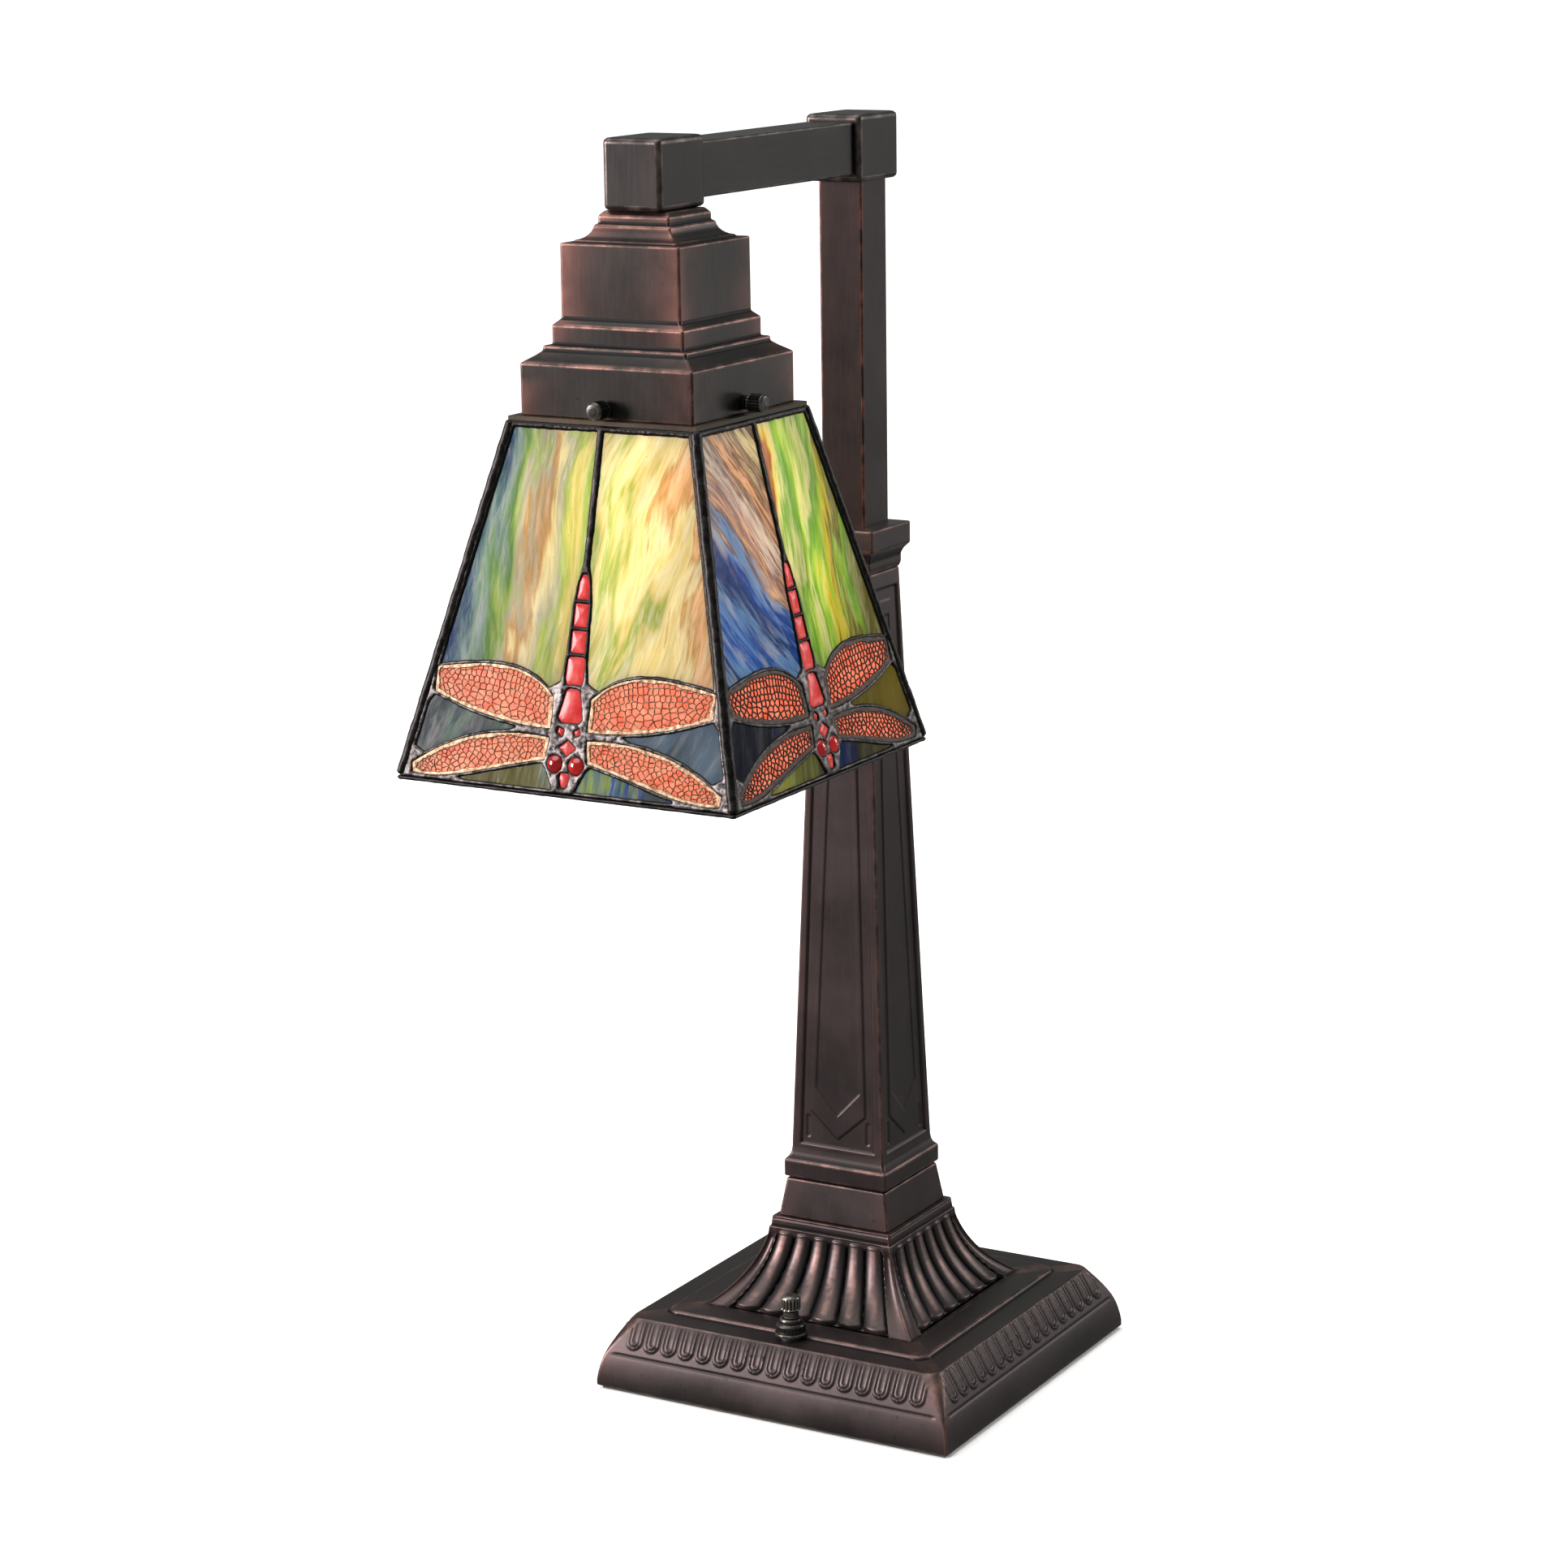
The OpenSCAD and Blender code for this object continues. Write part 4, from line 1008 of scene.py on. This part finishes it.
SWITCH_Y = (NUT_LOW[1] + NUT_HIGH[1]) / 2
nut_profile = [
    (4.5, PAD_Z), (6.5, PAD_Z), (6.5, PAD_Z + 1.1), (5.9, PAD_Z + 1.5), (5.9, PAD_Z + 4.2), (5.2, PAD_Z + 5),
    (4.6, PAD_Z + 5.2), (4.6, PAD_Z + 6.2), (4.2, PAD_Z + 7), (2.1, PAD_Z + 7), (2.1, PAD_Z + 3),
]
made = lathe(nut_profile, 0.3, 0.5, 72, knurl(24, 0.3, PAD_Z + 1.6, PAD_Z + 4.1), closed=True)
make("switch_nut", made, SCREW, place=moved(0, SWITCH_Y, 0))
knob_top = KNOB_HIGH[2]
knob_profile = [
    (1.2, KNOB_LOW[2]), (2, KNOB_LOW[2]), (2, PAD_Z + 7.3), (3.2, PAD_Z + 7.3), (3.2, knob_top - 6.2),
    (4, knob_top - 5.8), (4, knob_top - 1.5), (3.3, knob_top - 0.5), (2.2, knob_top), (0.6, knob_top),
]
made = lathe(knob_profile, 0.25, 0.5, 96, knurl(16, 0.55, knob_top - 5.9, knob_top - 1.1))
make("switch_knob", made, KNOB, body="knob", place=moved(0, SWITCH_Y, 0))

screw_profile = [
    (1.0, 32.7), (2, 32.7), (2, 35.9), (2.6, 35.9), (2.6, 37.4), (3.3, 37.6), (3.3, 43.4), (2.6, 44.2), (1.2, 44.4),
    (0.4, 44.4),
]
made = lathe(screw_profile, 0.3, 0.5, 80, knurl(20, 0.35, 37.9, 43.2))
SCREW_Z = HOLDER_Z + 4
for turn, face in enumerate(FACES):
    outward = Matrix.Rotation(math.radians(90 * turn), 4, "Z") @ Matrix.Rotation(math.radians(90), 4, "X")
    place = moved(0, SHADE_Y, SCREW_Z) @ outward
    make(f"thumbscrew_{face}", made, SCREW, body=f"screw_{face}", place=place)

# ---- Shade: outlines as [across, down the slope] in the plane of one face

EDGE_SEAM, SEAM = 3.6, 1.5
UPPER_TOP = [[8, 96], [20, 84.5], [34, 85.5], [57.5, 89.5]]
UPPER_LOW = [[8, 107], [24, 107], [40, 104.5], [57.5, 98]]
LOWER_TOP = [[8, 110.5], [28, 109], [46, 112], [64, 124.5]]
LOWER_LOW = [[9, 118], [30, 122], [50, 130], [63.5, 127.5]]
STEPS = np.linspace(0, 1, 19)


def face_w(down):
    """Half width of a face at a distance down its slope."""
    return TOP_W + (LOW_W - TOP_W) * down / SLANT


def along(curve, a, b, shift=0.0):
    """Points of a curve between two of its parameters, moved down the slope."""
    return (bezier(curve, a + (b - a) * STEPS) + [0, shift]).tolist()


tall = to_plane(
    [[SEAM, 2.4], [face_w(2.4) - EDGE_SEAM, 2.4], [face_w(88.5) - EDGE_SEAM, 88.5]]
    + along(UPPER_TOP, 0.97, 0.06, -SEAM)
    + [[5.6, 90], [4.6, 80], [4, 62], [2.9, 54.5], [SEAM, 49]]
)
low_upper = to_plane(
    along(UPPER_LOW, 0.3, 1, SEAM)
    + [[face_w(102) - EDGE_SEAM, 102], [face_w(118) - EDGE_SEAM, 118]]
    + along(LOWER_TOP, 0.92, 0.3, -SEAM)
)
low_lower = to_plane(
    along(LOWER_LOW, 0.02, 0.6, SEAM)
    + [[face_w(SLANT) * 0.6, SLANT - SEAM], [5, SLANT - SEAM], [8.4, 121.5]]
)
wings = [
    to_plane(along(UPPER_TOP, 0, 1) + along(UPPER_LOW, 1, 0)),
    to_plane(along(LOWER_TOP, 0, 1) + along(LOWER_LOW, 1, 0)),
]
middle_stones = [
    to_plane(loop)
    for loop in (
        [[-2.3, 61], [-1.9, 55], [-0.7, 52.3], [0.7, 52.3], [1.9, 55], [2.3, 61]],
        [[-2.6, 70.6], [-2.7, 62.6], [2.7, 62.6], [2.6, 70.6]],
        [[-2.8, 79.8], [-2.8, 72.2], [2.8, 72.2], [2.8, 79.8]],
        [[-3, 91], [-3.6, 89], [-3.4, 82], [-2.6, 81.4], [2.6, 81.4], [3.4, 82], [3.6, 89], [3, 91]],
        [[-5, 103], [-2.6, 93.4], [-1.4, 92.6], [1.4, 92.6], [2.6, 93.4], [5, 103], [3.6, 104.4], [-3.6, 104.4]],
        [[-3.3, 113.4], [0, 110.8], [3.3, 113.4], [0, 116.2]],
        [[-2, 124], [-1.6, 122.4], [1.6, 122.4], [2, 124], [0.8, 127.2], [-0.8, 127.2]],
    )
]
side_stone = to_plane([[2.2, 107.4], [4.2, 106.4], [4.6, 108.2], [2.8, 109.2]])
EYE_R, EYE_AT = 2.9, np.array([4.4, -119.3])
eye_angle = np.arange(28) * math.tau / 28
eye = EYE_AT + EYE_R * np.column_stack([np.cos(eye_angle), np.sin(eye_angle)])

openings = [tall, low_upper, low_lower, *wings, *middle_stones, side_stone, eye]
outline = np.array([[1 - TOP_W, 0], [1 - LOW_W, -SLANT], [LOW_W - 1, -SLANT], [TOP_W - 1, 0]])
CELL = 0.4
BEAD_REACH = 1.25


def solder_lattice():
    """A rounded bead over every seam of a face, worked out on its right half and mirrored."""
    half_x = np.arange(0, LOW_W + 2 * CELL, CELL)
    grid_y = np.arange(-SLANT - CELL, 2 * CELL, CELL)
    gx, gy = np.meshgrid(half_x, grid_y, indexing="ij")
    depth = np.minimum(signed_distance(gx, gy, openings), -signed_distance(gx, gy, [outline]))
    depth = np.vstack([depth[:0:-1], depth])
    grid_x = np.concatenate([-half_x[:0:-1], half_x])
    gx, gy = np.meshgrid(grid_x, grid_y, indexing="ij")
    wobble = 0.14 * lumps(gx, gy, 2.6, 11) + 0.06 * lumps(gx, gy, 1.1, 12)
    depth = depth + wobble * ease(-gy / 1.5)
    flat, faces = cut_grid(grid_x, grid_y, depth)
    x, y = flat[:, 0], flat[:, 1]
    within = np.maximum(sample(grid_x, grid_y, depth, flat), 0)
    bead = np.sqrt(1 - (1 - np.minimum(within / BEAD_REACH, 1)) ** 2)
    crown = bead * (0.78 + 0.14 * lumps(x, y, 3.1, 13) + 0.07 * lumps(x, y, 1.2, 14))
    points, faces = thicken(flat, faces, GLASS_TOP + crown, SEAM_BACK - 0.25 * bead)
    # The top edge is cut level, to meet the underside of the holder's collar.
    points[:, 1] -= points[:, 2] * math.tan(TILT) * ease(1 + points[:, 1] / 2.5)
    polish = 0.42 + 0.50 * ease((-y - 80) / 8) + 0.25 * lumps(x, y, 5, 15)
    return points, faces, {"edge": np.concatenate([bead * polish, 0 * bead])}


make_faces("solder", range(4), solder_lattice(), SOLDER)

# Corner beads and bottom rim
EDGE_RUN = (LOW_W - TOP_W) * math.sqrt(2)
BEAD_LENGTH = math.hypot(EDGE_RUN, DROP)
BEAD_WEAR = 0.75


def bead_relief(angle, r, z):
    """Uneven surface of a hand-laid bead."""
    return 0.16 * lumps(angle * 2, z + 0 * angle, 3.5, 21) + 0.08 * lumps(angle * 2, z + 0 * angle, 1.3, 22)


bead_profile = [(1.2, 0.3), (2, 1.0), (2, BEAD_LENGTH - 1.0), (1.2, BEAD_LENGTH - 0.2)]
bead_points, bead_faces, _ = lathe(bead_profile, 0.4, 0.8, 20, bead_relief)
beads = []
for turn in range(4):
    spin = Matrix.Rotation(math.radians(90 * turn), 4, "Z")
    lean = Matrix.Rotation(math.radians(225), 4, "Z") @ Matrix.Rotation(math.atan2(EDGE_RUN, DROP), 4, "Y")
    turned = np.array(spin @ Matrix.Translation((LOW_W - 0.9, LOW_W - 0.9, LOW_Z)) @ lean)
    wear = {"edge": np.full(len(bead_points), BEAD_WEAR)}
    beads.append((bead_points @ turned[:3, :3].T + turned[:3, 3], bead_faces, wear))
make("corner_beads", join(beads), BEAD, sharp=60, place=moved(0, SHADE_Y, 0))


def rim_relief(across, w, z):
    """Uneven outer side of the bottom rim."""
    return -0.12 + 0.1 * lumps(across, w + z, 3, 31) * (w > 69)


rim_w, rim_z = RIM_HIGH[0], RIM_LOW[2]
rim_profile = [
    (67.5, rim_z + 0.1), (rim_w - 0.5, rim_z + 0.1), (rim_w, rim_z + 0.9), (rim_w - 0.3, LOW_Z), (66.4, LOW_Z),
    (66.4, rim_z + 0.1),
]
made = square_loft(rim_profile, 0.5, 0.7, 1.2, 150, rim_relief, closed=True)
made[2]["edge"][:] = BEAD_WEAR
make("bottom_rim", made, BEAD, sharp=70, place=moved(0, SHADE_Y, 0))


# Glass panels
def slab(loop, face_number):
    """Flat glass cut to a loop, reaching a little under its seams."""
    loop = dense(grown(loop, 0.35), 3)
    count = len(loop)
    faces = [list(range(count)), list(range(2 * count - 1, count - 1, -1))]
    faces += [[(i + 1) % count, i, i + count, (i + 1) % count + count] for i in range(count)]
    points = np.vstack([np.column_stack([loop, np.full(count, h)]) for h in (GLASS_TOP, GLASS_LOW)])
    flat = points * [1, 1, 0] + [0, 0, face_number * 31.0]
    return points, faces, {"flat": flat}


def domed(loop, high, rings=6):
    """Cabochon: the loop's outline at the glass plane, rising to a rounded crown."""
    loop = dense(grown(loop, 0.25), 0.6)
    centre = loop.mean(axis=0)
    count = len(loop)
    points, faces = [np.column_stack([loop, np.full(count, GLASS_LOW)])], []
    for i in range(rings):
        angle = math.radians(90) * i / rings
        scale = 1 - (1 - math.cos(angle)) * 0.98
        ring = centre + (loop - centre) * scale
        points.append(np.column_stack([ring, np.full(count, GLASS_TOP + high * math.sin(angle))]))
    for i in range(rings):
        low, up = i * count, (i + 1) * count
        faces += [[low + k, low + (k + 1) % count, up + (k + 1) % count, up + k] for k in range(count)]
    faces.append(list(range(count))[::-1])
    faces.append([rings * count + k for k in range(count)])
    return np.vstack(points), faces, {}


stones = join([domed(loop, 0.55) for loop in (*middle_stones, side_stone, mirrored(side_stone))])
eyes = join([domed(loop, 2.0, 9) for loop in (eye, mirrored(eye))])
wing_plates = join([slab(loop, 0) for wing in wings for loop in (wing, mirrored(wing))])

for turn, face in enumerate(FACES):
    place = face_place(turn)
    look = "front" if turn % 2 == 0 else "side"
    for side, loop in (("left", mirrored(tall)), ("right", tall)):
        make(
            f"tall_glass_{face}_{side}", slab(loop, turn), TALL_GLASS[f"{look}_{side}"],
            f"tall_glass_{face}", sharp=30, place=place,
        )
    for part, loop in (("upper", low_upper), ("lower", low_lower)):
        make(
            f"low_glass_{face}_{part}", join([slab(loop, turn), slab(mirrored(loop), turn)]),
            LOW_GLASS[f"{look}_{part}"], f"low_glass_{face}", sharp=30, place=place,
        )
    make(f"wing_glass_{face}", wing_plates, WING_GLASS, sharp=30, place=place)
    make(f"body_glass_{face}", stones, STONE, sharp=40, place=place)
    make(f"eye_glass_{face}", eyes, EYE, f"body_glass_{face}", sharp=40, place=place)

# Pierced filigree: openings between veins, small and round in a wing's upper part, long and narrow below
NET_SPAN = 55.0
# Rows of openings: how far down the wing, and the openings' pitch
NET_ROWS = [(0.07, 2.3), (0.21, 2.2), (0.35, 2.3), (0.48, 2.7), (0.60, 3.4), (0.72, 3.9), (0.83, 4.2), (0.93, 4.2)]


def wing_seeds(top, low, seed):
    """Centres of the openings of one wing."""
    random = np.random.default_rng(seed)
    seeds = []
    for number, (s, pitch) in enumerate(NET_ROWS):
        count = int(NET_SPAN / pitch)
        for i in range(count):
            t = (i + 0.5 + 0.5 * (number % 2) + random.uniform(-0.22, 0.22)) / count
            here = s + random.uniform(-0.025, 0.025)
            seeds.append((1 - here) * bezier(top, t)[0] + here * bezier(low, t)[0])
    return np.array(seeds) * [1, -1]


NET_CELL = 0.21
NET_X = np.arange(6, 66, NET_CELL)
NET_Y = np.arange(-131, -83, NET_CELL)


def filigree(vein_w, border_w):
    """Both wings' net on one side of a face, and its mirror image."""
    nx, ny = np.meshgrid(NET_X, NET_Y, indexing="ij")
    net = np.full(nx.shape, -1.0)
    for wing, curves, seed in ((wings[0], (UPPER_TOP, UPPER_LOW), 5), (wings[1], (LOWER_TOP, LOWER_LOW), 6)):
        within = -signed_distance(nx, ny, [wing])
        picked = within > -0.6
        px, py = nx[picked], ny[picked]
        seeds = wing_seeds(*curves, seed)
        away = np.hypot(px[:, None] - seeds[None, :, 0], py[:, None] - seeds[None, :, 1])
        nearest = np.argsort(away, axis=1)[:, :3]
        rows = np.arange(len(px))
        first = nearest[:, 0]
        wall = np.full(len(px), 9.0)
        for other in (nearest[:, 1], nearest[:, 2]):
            gap = np.hypot(*(seeds[first] - seeds[other]).T)
            wall = np.minimum(wall, (away[rows, other] ** 2 - away[rows, first] ** 2) / (2 * gap + 1e-9))
        vein = vein_w + 0.05 * lumps(px, py, 2.5, seed + 30) - wall
        border = border_w + 0.45 * lumps(px, py, 4, seed + 40) - within[picked]
        solid = np.minimum(np.maximum(vein, border), within[picked] + 0.5)
        net[picked] = np.maximum(net[picked], solid)
    flat, faces = cut_grid(NET_X, NET_Y, net)
    d = np.maximum(sample(NET_X, NET_Y, net, flat), 0)
    swell = np.sqrt(1 - (1 - np.minimum(d / 0.25, 1)) ** 2)
    top = GLASS_TOP + 0.05 + 0.3 * swell + 0.05 * lumps(flat[:, 0], flat[:, 1], 1.5, 50)
    points, faces = thicken(flat, faces, top, np.full(len(top), GLASS_TOP + 0.02))
    wear = {"edge": np.concatenate([swell * 0.7, 0 * swell])}
    return join([(points, faces, wear), (points * [-1, 1, 1], [f[::-1] for f in faces], wear)])


make_faces("filigree", (0, 2), filigree(vein_w=0.2, border_w=1.15), NET)
# The side faces take the darker copy of the net metal, which is painted shade
make_faces("filigree", (1, 3), filigree(vein_w=0.3, border_w=1.5), SHADED_NET)

# ---- Floor, light and camera


def stage_floor():
    """Wide round floor, finer towards the lamp."""
    n = Nodes("floor")
    grain = n.noise(n.place(), 6, 4, 0.6)
    n.set(Base_Color=n.ramp(grain, [(0.3, (0.91, 0.91, 0.91)), (0.7, (0.94, 0.94, 0.94))]), Roughness=0.9)
    n.set(Emission_Color=(1.0, 1.0, 1.0), Emission_Strength=0.07)
    mesh = bpy.data.meshes.new("floor")
    size, rings, segments = 40.0, 8, 96
    points = [(0.0, 0.0, 0.0)]
    for i in range(1, rings + 1):
        r = size * (i / rings) ** 3
        angles = [math.tau * k / segments for k in range(segments)]
        points += [(r * math.cos(angle), r * math.sin(angle), 0.0) for angle in angles]
    faces = [(0, 1 + k, 1 + (k + 1) % segments) for k in range(segments)]
    for i in range(rings - 1):
        a, b = 1 + i * segments, 1 + (i + 1) * segments
        faces += [(a + k, b + k, b + (k + 1) % segments, a + (k + 1) % segments) for k in range(segments)]
    mesh.from_pydata(points, [], faces)
    mesh.materials.append(n.material)
    floor = bpy.data.objects.new("floor", mesh)
    bpy.context.scene.collection.objects.link(floor)
    return floor


floor = stage_floor()
floor.visible_glossy = False

AZIMUTH, ELEVATION, ROLL = math.radians(29.87), math.radians(13.0), math.radians(-0.81)
DISTANCE = 1564.0
AIM_RIGHT, AIM_Z = -29.6, 243.6
right = Vector((math.cos(AZIMUTH), math.sin(AZIMUTH), 0))
back = Vector((
    math.sin(AZIMUTH) * math.cos(ELEVATION), -math.cos(AZIMUTH) * math.cos(ELEVATION), math.sin(ELEVATION),
))
up = back.cross(right)
aim = right * AIM_RIGHT + Vector((0, 0, AIM_Z))
rolled_right = right * math.cos(ROLL) + up * math.sin(ROLL)
rolled_up = up * math.cos(ROLL) - right * math.sin(ROLL)
lens = bpy.data.cameras.new("camera")
lens.lens, lens.sensor_width, lens.clip_start, lens.clip_end = 90.0, 36.0, 0.05, 100.0
camera = bpy.data.objects.new("camera", lens)
bpy.context.scene.collection.objects.link(camera)
spot = (aim + back * DISTANCE) * MM
camera.matrix_world = Matrix((
    (rolled_right.x, rolled_up.x, back.x, spot.x),
    (rolled_right.y, rolled_up.y, back.y, spot.y),
    (rolled_right.z, rolled_up.z, back.z, spot.z),
    (0, 0, 0, 1),
))
bpy.context.scene.camera = camera


def softbox(name, position, target, size, watts, colour):
    """Rectangular light, in metres and watts."""
    light = bpy.data.lights.new(name, "AREA")
    light.shape, light.size, light.size_y = "RECTANGLE", size[0], size[1]
    light.energy, light.color = watts, colour
    lamp = bpy.data.objects.new(name, light)
    bpy.context.scene.collection.objects.link(lamp)
    lamp.location = position
    lamp.rotation_euler = (Vector(target) - Vector(position)).to_track_quat("-Z", "Y").to_euler()


softbox("key", (-1.9, -1.8, 0.85), (-0.1, -0.1, 0.05), (1.1, 0.9), 125, (1.0, 0.87, 0.88))
softbox("side", (1.5, 1.7, 1.05), (0, 0, 0.1), (0.7, 1.0), 22, (1.0, 0.94, 0.93))
softbox("low", (1.5, 2.1, 0.12), (0, -0.15, 0.45), (0.9, 0.25), 2.0, (1.0, 0.94, 0.93))
softbox("top", (0.2, 0.6, 3.2), (0, 0, 0), (2.5, 2.5), 30, (1.0, 1.0, 1.0))
sky = bpy.data.lights.new("sky", "SUN")
sky.energy, sky.angle = 3.2, math.radians(60)
sky_lamp = bpy.data.objects.new("sky", sky)
bpy.context.scene.collection.objects.link(sky_lamp)
sky_lamp.rotation_euler = (math.radians(18), math.radians(-14), 0)

world = bpy.data.worlds.new("world")
bpy.context.scene.world = world
world.use_nodes = True
tree = world.node_tree
ground = tree.nodes["Background"]
ground.inputs["Color"].default_value = (0.24, 0.25, 0.24, 1)
seen = tree.nodes.new("ShaderNodeBackground")
seen.inputs["Color"].default_value = (1, 1, 1, 1)
path = tree.nodes.new("ShaderNodeLightPath")
both = tree.nodes.new("ShaderNodeMixShader")
tree.links.new(path.outputs["Is Camera Ray"], both.inputs[0])
tree.links.new(ground.outputs[0], both.inputs[1])
tree.links.new(seen.outputs[0], both.inputs[2])
tree.links.new(both.outputs[0], tree.nodes["World Output"].inputs["Surface"])
bpy.context.scene.view_settings.view_transform = "Standard"
